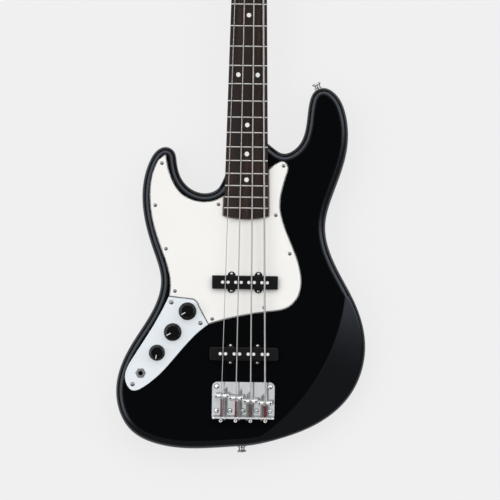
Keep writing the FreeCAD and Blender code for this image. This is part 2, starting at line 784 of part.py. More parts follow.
def make_frets():
    """Half-round crowns that follow the camber, one for each fret."""
    radius = size("fretboard_radius") + 0.02
    wide, tall = size("fret_width"), size("fret_height")
    frets = []
    for number_of_fret in range(1, int(size("fret_count")) + 1):
        y = fret_y(number_of_fret)
        axis = V(0, y, BOARD_Z - size("fretboard_radius"))
        foot = axis + UP * radius
        left, right = foot - ALONG * wide / 2, foot + ALONG * wide / 2
        face = Part.Face(Part.Wire([
            Part.LineSegment(left, right).toShape(),
            Part.Arc(right, foot + UP * tall, left).toShape(),
        ]))
        reach = math.degrees(math.asin((half_width(y) - 0.3) / radius))
        face.rotate(axis, ALONG, -reach)
        frets.append(face.revolve(axis, ALONG, 2 * reach))
    group("frets", frets)


def make_nut():
    """A bone block at the end of the fretboard with a round-bottomed slot for each string."""
    low = V(-half_width(NUT_Y), NUT_Y, BOARD_BASE_Z)
    high = V(half_width(NUT_Y), NUT_Y + size("nut_thickness"), STRINGS[1].nut_z)
    shape = block(low, high)
    back_top = [e for e in shape.Edges if e.CenterOfMass.z > high.z - 0.01
                and e.CenterOfMass.y > high.y - 0.01]
    shape = shape.makeFillet(size("nut_thickness") * 0.4, back_top)
    slots = []
    for s in STRINGS:
        middle = V(s.nut_x, NUT_Y, s.nut_z)
        slots.append(rod(s.radius + size("wood_gap"), middle - s.way() * 5, middle + s.way() * 15))
        wall = V(s.radius + size("wood_gap"), 5, 0)
        slots.append(block(middle - wall, middle + wall + V(0, 10, 5)))
    feature("nut", shape.cut(slots))


# Strings, windings and tuners


def rounded_path(points, radius):
    """Straight runs through points, joined by tangent arcs."""
    edges = []
    start = points[0]
    for before, corner, after in zip(points, points[1:], points[2:]):
        back = (before - corner).normalize()
        ahead = (after - corner).normalize()
        half_angle = back.getAngle(ahead) / 2
        reach = radius / math.tan(half_angle)
        middle_way = (back + ahead).normalize()
        middle = corner + middle_way * (radius / math.sin(half_angle) - radius)
        edges.append(Part.LineSegment(start, corner + back * reach).toShape())
        edges.append(Part.Arc(corner + back * reach, middle, corner + ahead * reach).toShape())
        start = corner + ahead * reach
    edges.append(Part.LineSegment(start, points[-1]).toShape())
    return edges


def tube(edges, radius):
    """A round bar along edges."""
    first = edges[0]
    start, way = first.valueAt(first.FirstParameter), first.tangentAt(first.FirstParameter)
    ring = Part.Wire([Part.makeCircle(radius, start, way)])
    return Part.Wire(edges).makePipeShell([ring], True, False)


def helix_point(radius, pitch, turn):
    angle = 2 * math.pi * turn
    return V(radius * math.cos(angle), radius * math.sin(angle), pitch * turn)


def coil(name, wire, radius, pitch, turns):
    """One unbroken tube wound about Z in quarter-turn arcs. Its least gap to itself is printed."""
    quarters = round(4 * turns)
    edges = []
    for quarter in range(quarters):
        spots = [helix_point(radius, pitch, (quarter + part) / 4) for part in (0, 0.5, 1)]
        edges.append(Part.Arc(*spots).toShape())
    samples = [helix_point(radius, pitch, step / 16) for step in range(4 * quarters + 1)]
    apart = [(a - b).Length for i, a in enumerate(samples) for b in samples[i + 12:]]
    shape = tube(edges, wire / 2)
    expected = math.pi * wire ** 2 / 4 * sum(edge.Length for edge in edges)
    print("%s: %.1f turns, least gap to itself %.2f mm, volume %.3f of section times length"
          % (name, turns, min(apart) - wire, shape.Volume / expected))
    return shape


def post_spot(s, z):
    """The axis of the string's tuner post, beside the line that the string is pulled along."""
    y = NUT_Y + size("first_tuner") + STRINGS.index(s) * size("tuner_spacing")
    touch = V(s.x_at(y), y, z)
    wrap = size("post_diameter") / 2 + GAP + s.radius
    return touch + s.way().cross(UP) * wrap


def string_bends(s):
    """Corners of a string's run: tail, saddle, nut, lead-in to the post and touch point."""
    lead_z = HEAD_Z + size("post_string_height") + s.radius
    wrap = size("post_diameter") / 2 + GAP + s.radius
    touch = post_spot(s, lead_z) - s.way().cross(UP) * wrap
    tail_y = FLANGE_Y + GAP
    nut_y = NUT_Y + size("nut_thickness") + size("string_bend_radius") / 10
    return [
        V(s.x_at(tail_y), tail_y, s.tail_z), V(s.x_at(s.saddle_y), s.saddle_y, s.saddle_z),
        V(s.x_at(nut_y), nut_y, s.nut_z), touch - s.way() * size("string_bend_radius"), touch,
    ]


def make_string(s):
    """A string from its ball end over saddle and nut to a three-quarter wrap round its post."""
    bends = string_bends(s)
    edges = rounded_path(bends, size("string_bend_radius"))
    centre = post_spot(s, bends[-1].z)
    arm = bends[-1] - centre
    for quarter in range(3):
        spots = [centre + FreeCAD.Rotation(UP, -90 * (quarter + part)).multVec(arm) for part in (0, 0.5, 1)]
        edges.append(Part.Arc(*spots).toShape())
    shape = tube(edges, s.radius)
    expected = math.pi * s.radius ** 2 * sum(edge.Length for edge in edges)
    print("string_%s: volume %.4f of section times length" % (s.name, shape.Volume / expected))
    feature("string_" + s.name, shape)


def make_ball_ends():
    radius = size("ball_end_diameter") / 2
    balls = []
    for s in STRINGS:
        y = FLANGE_Y - size("wood_gap") - radius
        base = V(s.x_at(y), y, s.tail_z - size("ball_end_height") / 2)
        drum = Part.makeCylinder(radius, size("ball_end_height"), base)
        drum = drum.makeFillet(radius / 5, [e for e in drum.Edges if isinstance(e.Curve, Part.Circle)])
        balls.append(drum.cut(rod(radius / 2.5, base - UP, base + UP * 10)))
    group("string_ball_ends", balls)


GEAR_PITCH_RADIUS = size("gear_module") * size("gear_teeth") / 2
WORM_PITCH = math.pi * size("gear_module")
TOOTH_RISE = 0.9
TOOTH_ROOT = 1.3
GEAR_TOOTH = ((-TOOTH_ROOT, -0.8), (TOOTH_RISE, -0.35), (TOOTH_RISE, 0.35), (-TOOTH_ROOT, 0.8))
THREAD_FOOT = 0.65
THREAD_CREST = 0.35
WORM_OFFSET = GEAR_PITCH_RADIUS + size("worm_diameter") / 2 - TOOTH_RISE * size("gear_module")
TUNER_PLATE_Z = HEAD_BACK_Z - size("tuner_plate_thickness")
WORM_Z = TUNER_PLATE_Z - size("worm_drop")
WORM_HALF = WORM_PITCH * size("worm_turns") / 2 + size("worm_journal")
PLATE_SHIFT = V(size("tuner_plate_side"), -size("tuner_plate_back"), 0)


def tuner_screw_spots(s):
    """Four screws at the corners of a tuner's plate, on its lower face."""
    middle = post_spot(s, TUNER_PLATE_Z) + PLATE_SHIFT
    step_x = size("tuner_plate_width") / 2 - size("tuner_screw_inset")
    step_y = size("tuner_plate_length") / 2 - size("tuner_screw_inset")
    return [middle + V(sx * step_x, sy * step_y, 0) for sx in (-1, 1) for sy in (-1, 1)]


def tuner_plate(s):
    """A base plate with two lugs bent down from it that carry the worm."""
    middle = post_spot(s, TUNER_PLATE_Z) + PLATE_SHIFT
    reach = V(size("tuner_plate_width") / 2, size("tuner_plate_length") / 2, 0)
    plate = block(middle - reach, middle + reach + UP * size("tuner_plate_thickness"))
    corners = [e for e in plate.Edges if abs(e.tangentAt(e.FirstParameter).z) > 0.9]
    plate = plate.makeFillet(size("tuner_screw_inset"), corners)
    axis = post_spot(s, WORM_Z) - ALONG * WORM_OFFSET
    lug_half = size("worm_diameter") / 2 - 0.8
    for side in (-1, 1):
        inner = side * (WORM_HALF + GAP)
        outer = inner + side * size("lug_thickness")
        low = axis + V(min(inner, outer), -lug_half, -lug_half)
        lug = block(low, axis + V(max(inner, outer), lug_half, size("worm_drop")))
        ends = [e for e in lug.Edges if abs(e.tangentAt(e.FirstParameter).x) > 0.9
                and e.CenterOfMass.z < axis.z]
        plate = plate.fuse(lug.makeFillet(lug_half * 0.9, ends))
    bore = size("key_shaft_diameter") / 2 + size("shaft_gap")
    holes = [rod(bore, axis - ACROSS * THROUGH, axis + ACROSS * THROUGH),
             rod(size("post_diameter") / 2 + GAP, post_spot(s, 0), post_spot(s, HEAD_Z))]
    holes += [rod(size("trim_screw_diameter") / 2 + size("wood_gap"), spot - UP * 5, spot + UP * 5)
              for spot in tuner_screw_spots(s)]
    return plate.cut(holes).removeSplitter()


def worm_gear():
    """A spur gear in the XY plane about its middle, with one tooth towards -Y."""
    module, teeth = size("gear_module"), int(size("gear_teeth"))
    corners = []
    for tooth in range(teeth):
        turn = FreeCAD.Rotation(UP, 360 * tooth / teeth - 90)
        for rise, half in GEAR_TOOTH:
            radius = GEAR_PITCH_RADIUS + rise * module
            corners.append(turn.multVec(V(radius, half * module, -size("gear_thickness") / 2)))
    blank = Part.Face(Part.makePolygon(corners + corners[:1])).extrude(UP * size("gear_thickness"))
    return blank.cut(rod(size("spigot_diameter") / 2 + 0.02, UP * -10, UP * 10))


def worm():
    """A single-start worm along X: a core with a helical thread that meshes with the gear."""
    module = size("gear_module")
    length = WORM_PITCH * size("worm_turns")
    core, rim = size("worm_core_diameter") / 2, size("worm_diameter") / 2
    root = core * 0.85
    foot, crest = THREAD_FOOT * module, THREAD_CREST * module
    section = Part.makePolygon([V(root, 0, -foot), V(rim, 0, -crest), V(rim, 0, crest), V(root, 0, foot),
                                V(root, 0, -foot)])
    path = Part.Wire(Part.makeHelix(WORM_PITCH, length, core))
    thread = path.makePipeShell([section], True, True)
    middle = length / 2
    shaft = rod(core, UP * (middle - WORM_HALF), UP * (middle + WORM_HALF)).fuse(thread)
    shaft.translate(UP * -middle)
    shaft.rotate(V(0, 0, 0), ALONG, 90)
    return shaft


def key_button():
    """A broad flat finger button at the end of the worm's shaft."""
    half, length, thick = size("key_width") / 2, size("key_length"), size("key_thickness")
    shares = [(0, 0.3), (0.12, 0.62), (0.42, 0.97), (0.72, 0.94), (0.94, 0.6), (1, 0)]
    right = [V(length * x, half * y, -thick / 2) for x, y in shares]
    left = [V(p.x, -p.y, p.z) for p in reversed(right[:-1])]
    outline = curve_through(right + left).toShape()
    base = Part.LineSegment(left[-1], right[0]).toShape()
    solid = Part.Face(Part.Wire([outline, base])).extrude(UP * thick)
    rims = [e for e in solid.Edges if abs(e.Vertexes[0].Z - e.Vertexes[-1].Z) < 0.1]
    return solid.makeFillet(thick * 0.3, rims)


def tuner_key(s, worm_shape, button):
    axis = post_spot(s, WORM_Z) - ALONG * WORM_OFFSET
    radius = size("key_shaft_diameter") / 2
    tail = V(-WORM_HALF - GAP - size("lug_thickness") - 0.5, 0, 0)
    reach = V(size("key_reach"), 0, 0)
    collar = rod(radius * 1.6, reach - ACROSS * 4, reach + ACROSS * 0.5)
    shape = worm_shape.fuse([rod(radius, tail, reach), collar, placed(button, reach)])
    shape.translate(axis)
    return shape


GEAR_LEVEL = "-Sizes.headstock_thickness - Sizes.tuner_plate_thickness - Sizes.worm_drop"
GEAR_FOOT = GEAR_LEVEL + " - Sizes.gear_thickness / 2"
GEAR_SHOULDER = GEAR_LEVEL + " + Sizes.gear_thickness / 2"
post_master = turned("post_master", [
    ("0", GEAR_FOOT), ("Sizes.spigot_diameter / 2", GEAR_FOOT),
    ("Sizes.spigot_diameter / 2", GEAR_SHOULDER), ("Sizes.post_diameter / 2", GEAR_SHOULDER),
    ("Sizes.post_diameter / 2", "Sizes.ferrule_flange + 0.8"),
    ("Sizes.post_diameter / 2 + 1.2", "Sizes.ferrule_flange + 0.8"),
    ("Sizes.post_diameter / 2 + 1.2", "Sizes.post_string_height - 1.6"),
    ("Sizes.post_diameter / 2", "Sizes.post_string_height - 0.6"),
    ("Sizes.post_diameter / 2", "Sizes.post_height - 3.4"),
    ("Sizes.post_diameter / 2 + 1.6", "Sizes.post_height - 2"),
    ("Sizes.post_diameter / 2 + 1.6", "Sizes.post_height - 0.5"),
    ("Sizes.post_diameter / 2 + 1.1", "Sizes.post_height"),
    ("0", "Sizes.post_height"),
])
slot_sketch = sketch_on(post_master, "XY_Plane", "Sizes.post_height")
draw_rectangle(slot_sketch, "3 * Sizes.post_diameter", "Sizes.string_e_diameter + 0.4")
pocket(post_master, slot_sketch, "6")
bore_sketch = sketch_on(post_master, "XY_Plane", "Sizes.post_height")
draw_circle(bore_sketch, "Sizes.string_e_diameter / 2 + 0.4")
pocket(post_master, bore_sketch, "14")
doc.recompute()


def tuner_post(s, gear):
    """Post, gear, the screw that holds the gear, and the string wound on the post."""
    post = placed(post_master.Shape, post_spot(s, HEAD_Z))
    wheel = placed(gear, post_spot(s, WORM_Z))
    low = post_spot(s, WORM_Z - size("gear_thickness") / 2 - 0.02)
    cap = Part.makeCone(size("spigot_diameter") * 0.8, size("spigot_diameter") * 0.5, 1.6, low, UP * -1)
    wire, pitch = 2 * s.radius, 2 * s.radius + size("winding_gap")
    start = size("post_string_height") + s.radius + pitch
    room = size("post_height") - 3.8 - s.radius - start
    turns = min(size("winding_turns"), math.floor(2 * room / pitch) / 2)
    radius = size("post_diameter") / 2 + size("shaft_gap") + s.radius
    winding = coil("winding_" + s.name, wire, radius, pitch, turns)
    return [post, wheel, cap, placed(winding, post_spot(s, HEAD_Z + start))]


ferrule = turned("ferrule", [
    ("Sizes.post_diameter / 2 + Sizes.shaft_gap", "-Sizes.headstock_thickness * 0.7"),
    ("Sizes.ferrule_diameter / 2", "-Sizes.headstock_thickness * 0.7"),
    ("Sizes.ferrule_diameter / 2", "0"),
    ("Sizes.ferrule_diameter / 2 + 1.8", "0"),
    ("Sizes.ferrule_diameter / 2 + 1.8", "Sizes.ferrule_flange * 0.5"),
    ("Sizes.ferrule_diameter / 2 + 0.8", "Sizes.ferrule_flange"),
    ("Sizes.post_diameter / 2 + Sizes.shaft_gap", "Sizes.ferrule_flange"),
])


def make_tuners():
    gear, worm_shape, button = worm_gear(), worm(), key_button()
    group("tuner_plates", [tuner_plate(s) for s in STRINGS])
    group("tuner_ferrules", [placed(ferrule.Shape, post_spot(s, HEAD_Z)) for s in STRINGS])
    group("tuner_screws", [placed(trim_screw.Shape, spot, UPSIDE_DOWN)
                           for s in STRINGS for spot in tuner_screw_spots(s)])
    for s in STRINGS:
        feature("tuner_key_" + s.name, tuner_key(s, worm_shape, button))
        group("tuner_post_" + s.name, tuner_post(s, gear))


def tree_spot():
    """The middle of the string tree on the headstock's face, between the two thinnest strings."""
    y = NUT_Y + size("tree_place")
    return V((STRINGS[2].x_at(y) + STRINGS[3].x_at(y)) / 2, y, HEAD_Z)


def make_string_tree():
    """A round retainer on a spacer that keeps two strings down in the nut."""
    spot = tree_spot()
    heights = []
    for s in STRINGS[2:]:
        over, under = string_bends(s)[2:4]
        share = (spot.y - over.y) / (under.y - over.y)
        heights.append(over.z + share * (under.z - over.z) + s.radius)
    rise = max(heights) + GAP - HEAD_Z
    gap_between = STRINGS[2].x_at(spot.y) - STRINGS[3].x_at(spot.y)
    spacer = rod(gap_between * 0.28, spot, spot + UP * (rise + 1))
    disc = rod(size("tree_diameter") / 2, spot + UP * rise, spot + UP * (rise + 2))
    rims = [e for e in disc.Edges if isinstance(e.Curve, Part.Circle)]
    shape = spacer.fuse(disc.makeFillet(0.7, rims))
    shape = shape.cut(rod(size("trim_screw_diameter") / 2 + size("wood_gap"), spot - UP, spot + UP * THROUGH))
    head = placed(trim_screw.Shape, spot + UP * (rise + 2))
    group("string_tree", [shape.removeSplitter(), head])


# Pickguard, control plate and controls


def spline_edge(points, z):
    return curve_through([on_plan(point, z) for point in points]).toShape()


def seam_edges(z):
    """The shared edge of the control plate and the pickguard: two runs with a rounded corner."""
    spots = [on_plan(point, z) for point in PLATE_SEAM]
    corner = on_plan(SEAM_CORNER, z)
    return [Part.LineSegment(spots[0], spots[1]).toShape(), Part.Arc(spots[1], corner, spots[2]).toShape(),
            Part.LineSegment(spots[2], spots[3]).toShape()]


def ear_discs(kind, grow, low, high):
    """Round prisms over the four screw ears of a pickup cover."""
    radius = size("pickup_ear_radius") + grow
    centre_y = BRIDGE_Y + size(kind + "_pickup_place")
    step_x, step_y = size("pickup_ear_spacing") / 2, size("pickup_ear_row") / 2
    spots = [V(sx * step_x, centre_y + sy * step_y, low) for sx in (-1, 1) for sy in (-1, 1)]
    return [rod(radius, spot, V(spot.x, spot.y, high)) for spot in spots]


def make_pickguard():
    edges = [spline_edge(GUARD_HORN_EDGE, TOP_Z), spline_edge(GUARD_STRING_EDGE, TOP_Z)]
    face = Part.Face(Part.Wire(edges + seam_edges(TOP_Z)))
    sheet_shape = face.extrude(UP * size("pickguard_thickness"))
    low, high = TOP_Z - 5, GUARD_TOP_Z + 5
    tools = [neck_plan(low, size("seam_gap"), BRIDGE_Y + size("heel_front")).extrude(UP * (high - low)),
             pickup_rout("neck")]
    tools += ear_discs("neck", GAP, low, high)
    tools += [hole(spot, "trim_screw_diameter", "pickguard_thickness") for spot in guard_screw_spots]
    tools += [hole(V(spot.x, spot.y, high), "trim_screw_diameter", "trim_screw_length")
              for spot in pickup_screw_spots("neck")]
    feature("pickguard", sheet_shape.cut(tools))
    group("pickguard_screws", [placed(trim_screw.Shape, spot) for spot in guard_screw_spots])


def make_control_plate():
    face = Part.Face(Part.Wire([spline_edge(PLATE_EDGE, TOP_Z)] + seam_edges(TOP_Z)))
    face.translate(V(-size("seam_gap"), -size("seam_gap"), 0))
    plate = face.extrude(UP * size("control_plate_thickness"))
    bush = size("bushing_diameter") / 2 + size("wood_gap")
    tools = [rod(bush, on_plan(spot, TOP_Z - 5), on_plan(spot, TOP_Z + 5))
             for spot in list(KNOBS.values()) + [JACK]]
    tools += [hole(spot, "trim_screw_diameter", "control_plate_thickness") for spot in plate_screw_spots]
    feature("control_plate", plate.cut(tools))
    group("control_plate_screws", [placed(trim_screw.Shape, spot) for spot in plate_screw_spots])


def hex_nut(spot):
    """A hexagon nut standing on spot, bored for the bushing, with its corners turned off."""
    across, height = size("control_nut_width"), size("control_nut_height")
    corner = across / math.sqrt(3)
    ring = [V(corner * math.cos(math.radians(60 * i)), corner * math.sin(math.radians(60 * i)), 0)
            for i in range(7)]
    nut = Part.Face(Part.makePolygon(ring)).extrude(UP * height)
    nut = nut.common(Part.makeCone(corner + height, across / 2 - 0.2, height + corner - across / 2 + 0.2))
    nut = nut.cut(rod(size("bushing_diameter") / 2 + size("shaft_gap"), UP * -1, UP * 10))
    return placed(nut, spot)


pot = turned("pot", [
    ("0", "-0.5 - Sizes.pot_height"), ("Sizes.pot_diameter / 2", "-0.5 - Sizes.pot_height"),
    ("Sizes.pot_diameter / 2", "-0.5"), ("Sizes.bushing_diameter / 2", "-0.5"),
    ("Sizes.bushing_diameter / 2", "Sizes.control_plate_thickness + Sizes.bushing_height"),
    ("Sizes.shaft_diameter / 2 + Sizes.shaft_gap", "Sizes.control_plate_thickness + Sizes.bushing_height"),
    ("Sizes.shaft_diameter / 2 + Sizes.shaft_gap", "-0.3 - Sizes.pot_height / 2"),
    ("0", "-0.3 - Sizes.pot_height / 2"),
])


def knob_master(label, diameter):
    """A skirted knob with a fluted grip, hollow below for the nut and bored for the shaft."""
    radius, inner = "%s / 2" % diameter, "Sizes.control_nut_width * 0.64"
    bore = "Sizes.shaft_diameter / 2 + 0.02"
    body = turned(label, [
        (inner, "0"), (radius, "0"), (radius, "Sizes.knob_height * 0.14"),
        ("%s * 0.94" % radius, "Sizes.knob_height * 0.2"), ("%s * 0.8" % radius, "Sizes.knob_height * 0.36"),
        ("%s * 0.74" % radius, "Sizes.knob_height * 0.94"), ("%s * 0.68" % radius, "Sizes.knob_height"),
        ("0", "Sizes.knob_height"), ("0", "Sizes.knob_height - 3"), (bore, "Sizes.knob_height - 3"),
        (bore, "Sizes.knob_recess_depth"), (inner, "Sizes.knob_recess_depth"),
    ])
    sketch = sketch_on(body, "XY_Plane", "Sizes.knob_height")
    draw_circle(sketch, "1.1", "%s * 0.79 + 0.5" % radius)
    flute = pocket(body, sketch, "Sizes.knob_height * 0.6")
    doc.recompute()
    ring = body.newObject("PartDesign::PolarPattern", label + "_flutes")
    ring.Originals = [flute]
    ring.Axis = (sketch, ["N_Axis"])
    ring.Angle = 360
    ring.Occurrences = 20
    body.Tip = ring
    doc.recompute()
    return body


def make_controls():
    spots = [on_plan(place, TOP_Z) for place in KNOBS.values()]
    lift = UP * size("control_plate_thickness")
    group("potentiometers", [placed(pot.Shape, spot) for spot in spots])
    group("potentiometer_nuts", [hex_nut(spot + lift) for spot in spots])
    for name, spot in zip(KNOBS, spots):
        diameter = "Sizes.tone_knob_diameter" if name == "tone" else "Sizes.knob_diameter"
        master = knob_master(name + "_knob_master", diameter)
        cap = placed(master.Shape, spot + lift + UP * size("knob_lift"))
        foot = spot - UP * size("pot_height") / 2
        shaft = rod(size("shaft_diameter") / 2, foot, foot + UP * size("shaft_length"))
        group(name + "_knob", [cap, shaft])


def make_jack():
    """An open-frame socket: a bored bushing, a frame disc and the spring leaf for the plug's tip."""
    spot = on_plan(JACK, TOP_Z)
    outer, bore = size("bushing_diameter") / 2, size("jack_bore") / 2
    head = size("control_plate_thickness") + size("control_nut_height") + 0.4
    foot = head - size("jack_bush_length")
    wide, tall = size("jack_frame_diameter") / 2, size("jack_frame_height")
    disc = rod(wide, UP * (-0.5 - tall), UP * -0.5)
    reach = size("cavity_depth") * 0.75
    leaf = Part.makePolygon([V(wide - 2, -3, -1), V(wide - 1.2, -3, -1), V(wide - 1.2, -3, -reach * 0.8),
                             V(bore + 1.8, -3, -reach), V(bore + 1, -3, -reach),
                             V(wide - 2, -3, -reach * 0.8), V(wide - 2, -3, -1)])
    frame = rod(outer, UP * foot, UP * head).fuse([disc, Part.Face(leaf).extrude(ALONG * 6)])
    frame = frame.cut(rod(bore, UP * -THROUGH, UP * THROUGH)).removeSplitter()
    feature("output_jack", placed(frame, spot))
    feature("jack_nut", hex_nut(spot + UP * size("control_plate_thickness")))


# Pickups


def pickup_cover(kind):
    """A moulded cover, open below, with four screw ears on its long sides."""
    length = "Sizes.%s_pickup_length" % kind
    body = new_body(kind + "_cover_master", False)
    outline = sketch_on(body, "XY_Plane")
    draw_rectangle(outline, length, "Sizes.pickup_width")
    pad(body, outline, "Sizes.pickup_height")
    doc.recompute()
    soften(body, lambda e: abs(e.tangentAt(e.FirstParameter).z) > 0.9, "2 * Sizes.pickup_wall")
    top = size("pickup_height")
    soften(body, lambda e: e.BoundBox.ZMin > top - 0.01, "Sizes.pickup_wall * 0.7")
    ears = sketch_on(body, "XY_Plane", "Sizes.pickup_height / 2 - Sizes.pickup_ear_height / 2")
    for sx in ("-", ""):
        for sy in ("-", ""):
            draw_circle(ears, "Sizes.pickup_ear_radius", sx + "Sizes.pickup_ear_spacing / 2",
                        sy + "Sizes.pickup_ear_row / 2")
    pad(body, ears, "Sizes.pickup_ear_height")
    hollow = sketch_on(body, "XY_Plane")
    draw_rectangle(hollow, length + " - 2 * Sizes.pickup_wall", "Sizes.pickup_width - 2 * Sizes.pickup_wall")
    pocket(body, hollow, "Sizes.pickup_height - Sizes.pickup_wall", True)
    doc.recompute()
    return body


def soften(body, choose, radius):
    """Round the edges of the body's last feature that choose picks."""
    base = body.Tip
    names = ["Edge%d" % i for i, edge in enumerate(base.Shape.Edges, start=1) if choose(edge)]
    item = body.newObject("PartDesign::Fillet", body.Name + "_fillet")
    item.Base = (base, names)
    item.setExpression("Radius", radius)
    doc.recompute()


def make_pickup(kind):
    centre_y = BRIDGE_Y + size(kind + "_pickup_place")
    floor = TOP_Z + size("pickup_stand") - size("pickup_height")
    roof = TOP_Z + size("pickup_stand")
    half_pair = size("pole_pair_spacing") / 2
    pole_tops = [V(s.x_at(centre_y) + step, centre_y, roof + size("pole_stand"))
                 for s in STRINGS for step in (-half_pair, half_pair)]
    down = UP * -size("pole_length")
    radius = size("pole_diameter") / 2
    poles = [rod(radius, spot, spot + down) for spot in pole_tops]
    group(kind + "_pickup_poles", [p.makeChamfer(0.4, [p.Edges[0], p.Edges[2]]) for p in poles])
    bores = [rod(radius + size("wood_gap"), spot - down, spot + down * 2) for spot in pole_tops]
    screw_holes = [rod(size("trim_screw_diameter") / 2 + size("wood_gap"), spot - UP * 9, spot + UP * 9)
                   for spot in pickup_screw_spots(kind)]
    cover = placed(pickup_cover(kind).Shape, V(0, centre_y, floor))
    feature(kind + "_pickup_cover", cover.cut(bores + screw_holes))
    wall = size("pickup_wall") + GAP
    reach = V(size(kind + "_pickup_length") / 2 - wall, size("pickup_width") / 2 - wall, 0)
    coil_top = V(0, centre_y, roof - wall)
    winding = block(coil_top - reach - UP * size("coil_height"), coil_top + reach)
    corners = [e for e in winding.Edges if abs(e.tangentAt(e.FirstParameter).z) > 0.9]
    winding = winding.makeFillet(reach.y * 0.8, corners)
    feature(kind + "_pickup_coil", winding.cut(bores))
    group(kind + "_pickup_screws", [placed(pickup_screw.Shape, spot) for spot in pickup_screw_spots(kind)])
    foam_top = roof + size("pole_stand") - size("pole_length")
    foam_floor = V(0, centre_y, TOP_Z - size("pickup_rout_depth"))
    return block(foam_floor - reach, foam_floor + reach + UP * (foam_top - foam_floor.z))


# Bridge


def make_bridge_plate():
    """A bent plate: a flat base with rounded front corners and a tail flange for the strings."""
    body = new_body("bridge_plate_master", False)
    base = sketch_on(body, "XY_Plane")
    draw_rectangle(base, "Sizes.bridge_width", "Sizes.bridge_length")
    pad(body, base, "Sizes.bridge_thickness")
    doc.recompute()
    soften(body, lambda e: abs(e.tangentAt(e.FirstParameter).z) > 0.9 and e.CenterOfMass.y > 0,
           "Sizes.bridge_corner_radius")
    flange = sketch_on(body, "XY_Plane")
    draw_rectangle(flange, "Sizes.bridge_width", "Sizes.flange_thickness",
                   "0", "Sizes.flange_thickness / 2 - Sizes.bridge_length / 2")
    pad(body, flange, "Sizes.bridge_thickness + Sizes.flange_height")
    doc.recompute()
    soften(body, lambda e: abs(e.tangentAt(e.FirstParameter).y) > 0.9
           and e.CenterOfMass.z > size("flange_height"), "Sizes.flange_thickness")
    back = -size("bridge_length") / 2
    soften(body, lambda e: abs(e.tangentAt(e.FirstParameter).x) > 0.9 and e.CenterOfMass.z < 0.01
           and e.CenterOfMass.y < back + 0.01, "Sizes.flange_thickness * 0.8")
    middle_y = FLANGE_Y + size("bridge_length") / 2
    shape = placed(body.Shape, V(0, middle_y, TOP_Z))
    tools = [hole(spot, "bridge_screw_diameter", "bridge_thickness") for spot in bridge_screw_spots()]
    through = ALONG * 2 * size("flange_thickness")
    for s in STRINGS:
        out = V(s.x_at(FLANGE_Y), FLANGE_Y, s.tail_z)
        tools.append(rod(s.radius + 3 * GAP, out - through, out + through))
        bore = size("intonation_screw_diameter") / 2 + GAP / 2
        screw_out = V(s.screw_x, FLANGE_Y, s.barrel_z)
        tools.append(rod(bore, screw_out - through, screw_out + through))
    feature("bridge_plate", shape.cut(tools))
    group("bridge_screws", [placed(bridge_screw.Shape, spot) for spot in bridge_screw_spots()])


barrel = turned("saddle_barrel", [
    ("0", "-Sizes.saddle_width / 2"), ("Sizes.saddle_diameter / 2 - 0.5", "-Sizes.saddle_width / 2"),
    ("Sizes.saddle_diameter / 2", "-Sizes.saddle_width / 2 + 0.5"),
    ("Sizes.saddle_diameter / 2", "-Sizes.string_e_diameter / 2 - Sizes.saddle_groove_depth"),
    ("Sizes.saddle_diameter / 2 - Sizes.saddle_groove_depth", "-Sizes.string_e_diameter / 2"),
    ("Sizes.saddle_diameter / 2 - Sizes.saddle_groove_depth", "Sizes.string_e_diameter / 2"),
    ("Sizes.saddle_diameter / 2", "Sizes.string_e_diameter / 2 + Sizes.saddle_groove_depth"),
    ("Sizes.saddle_diameter / 2", "Sizes.saddle_width / 2 - 0.5"),
    ("Sizes.saddle_diameter / 2 - 0.5", "Sizes.saddle_width / 2"), ("0", "Sizes.saddle_width / 2"),
])
SIDEWAYS = FreeCAD.Rotation(ALONG, 90)


def make_saddle(s):
    """A barrel saddle on two height screws that stand on the bridge plate."""
    middle = V(s.bridge_x, s.saddle_y, s.barrel_z)
    shape = placed(barrel.Shape, middle, SIDEWAYS)
    radius = size("saddle_screw_diameter") / 2
    bore = size("intonation_screw_diameter") / 2 + size("shaft_gap")
    screw_middle = V(s.screw_x, s.saddle_y, s.barrel_z)
    tools = [rod(bore, screw_middle - ALONG * THROUGH, screw_middle + ALONG * THROUGH)]
    grubs = []
    for side in (-1, 1):
        foot = V(s.bridge_x + side * size("saddle_screw_spacing") / 2, s.saddle_y,
                 PLATE_TOP_Z + size("wood_gap"))
        tools.append(rod(radius + 0.02, foot - UP * THROUGH, foot + UP * THROUGH))
        tall = s.barrel_z + size("saddle_diameter") / 2 - foot.z
        grub = rod(radius, foot, foot + UP * tall)
        socket = rod(radius * 0.5, foot + UP * (tall - 2), foot + UP * (tall + 1))
        grubs.append(grub.cut(socket))
    group("saddle_" + s.name, [shape.cut(tools)] + grubs)


def make_intonation_screw(s):
    """The long screw through the flange that draws the saddle back, with a domed head."""
    seat = V(s.screw_x, FLANGE_Y - size("wood_gap"), s.barrel_z)
    tip_y = s.saddle_y + size("saddle_diameter") / 2 + size("intonation_reach")
    radius, head = size("intonation_screw_diameter") / 2, size("intonation_head_diameter") / 2
    shank = rod(radius, seat, V(s.screw_x, tip_y, s.barrel_z))
    rim = seat - ALONG * size("intonation_head_height") * 0.5
    dome = Part.makeCone(head, head * 0.6, size("intonation_head_height") * 0.5, rim, ALONG * -1)
    feature("intonation_screw_" + s.name, shank.fuse([rod(head, seat, rim), dome]).removeSplitter())


def make_springs():
    """A compression spring on each intonation screw, between the flange and the saddle."""
    wire = size("spring_wire")
    springs = []
    for s in STRINGS:
        start = FLANGE_Y + size("flange_thickness") + GAP + wire / 2
        end = s.saddle_y - size("saddle_diameter") / 2 - GAP - wire / 2
        turns = round(4 * (end - start) / size("spring_pitch")) / 4
        radius = (size("spring_diameter") - wire) / 2
        shape = coil("spring_" + s.name, wire, radius, (end - start) / turns, turns)
        springs.append(placed(shape, V(s.screw_x, start, s.barrel_z), FreeCAD.Rotation(ACROSS, -90)))
    group("intonation_springs", springs)


# Neck plate and strap buttons


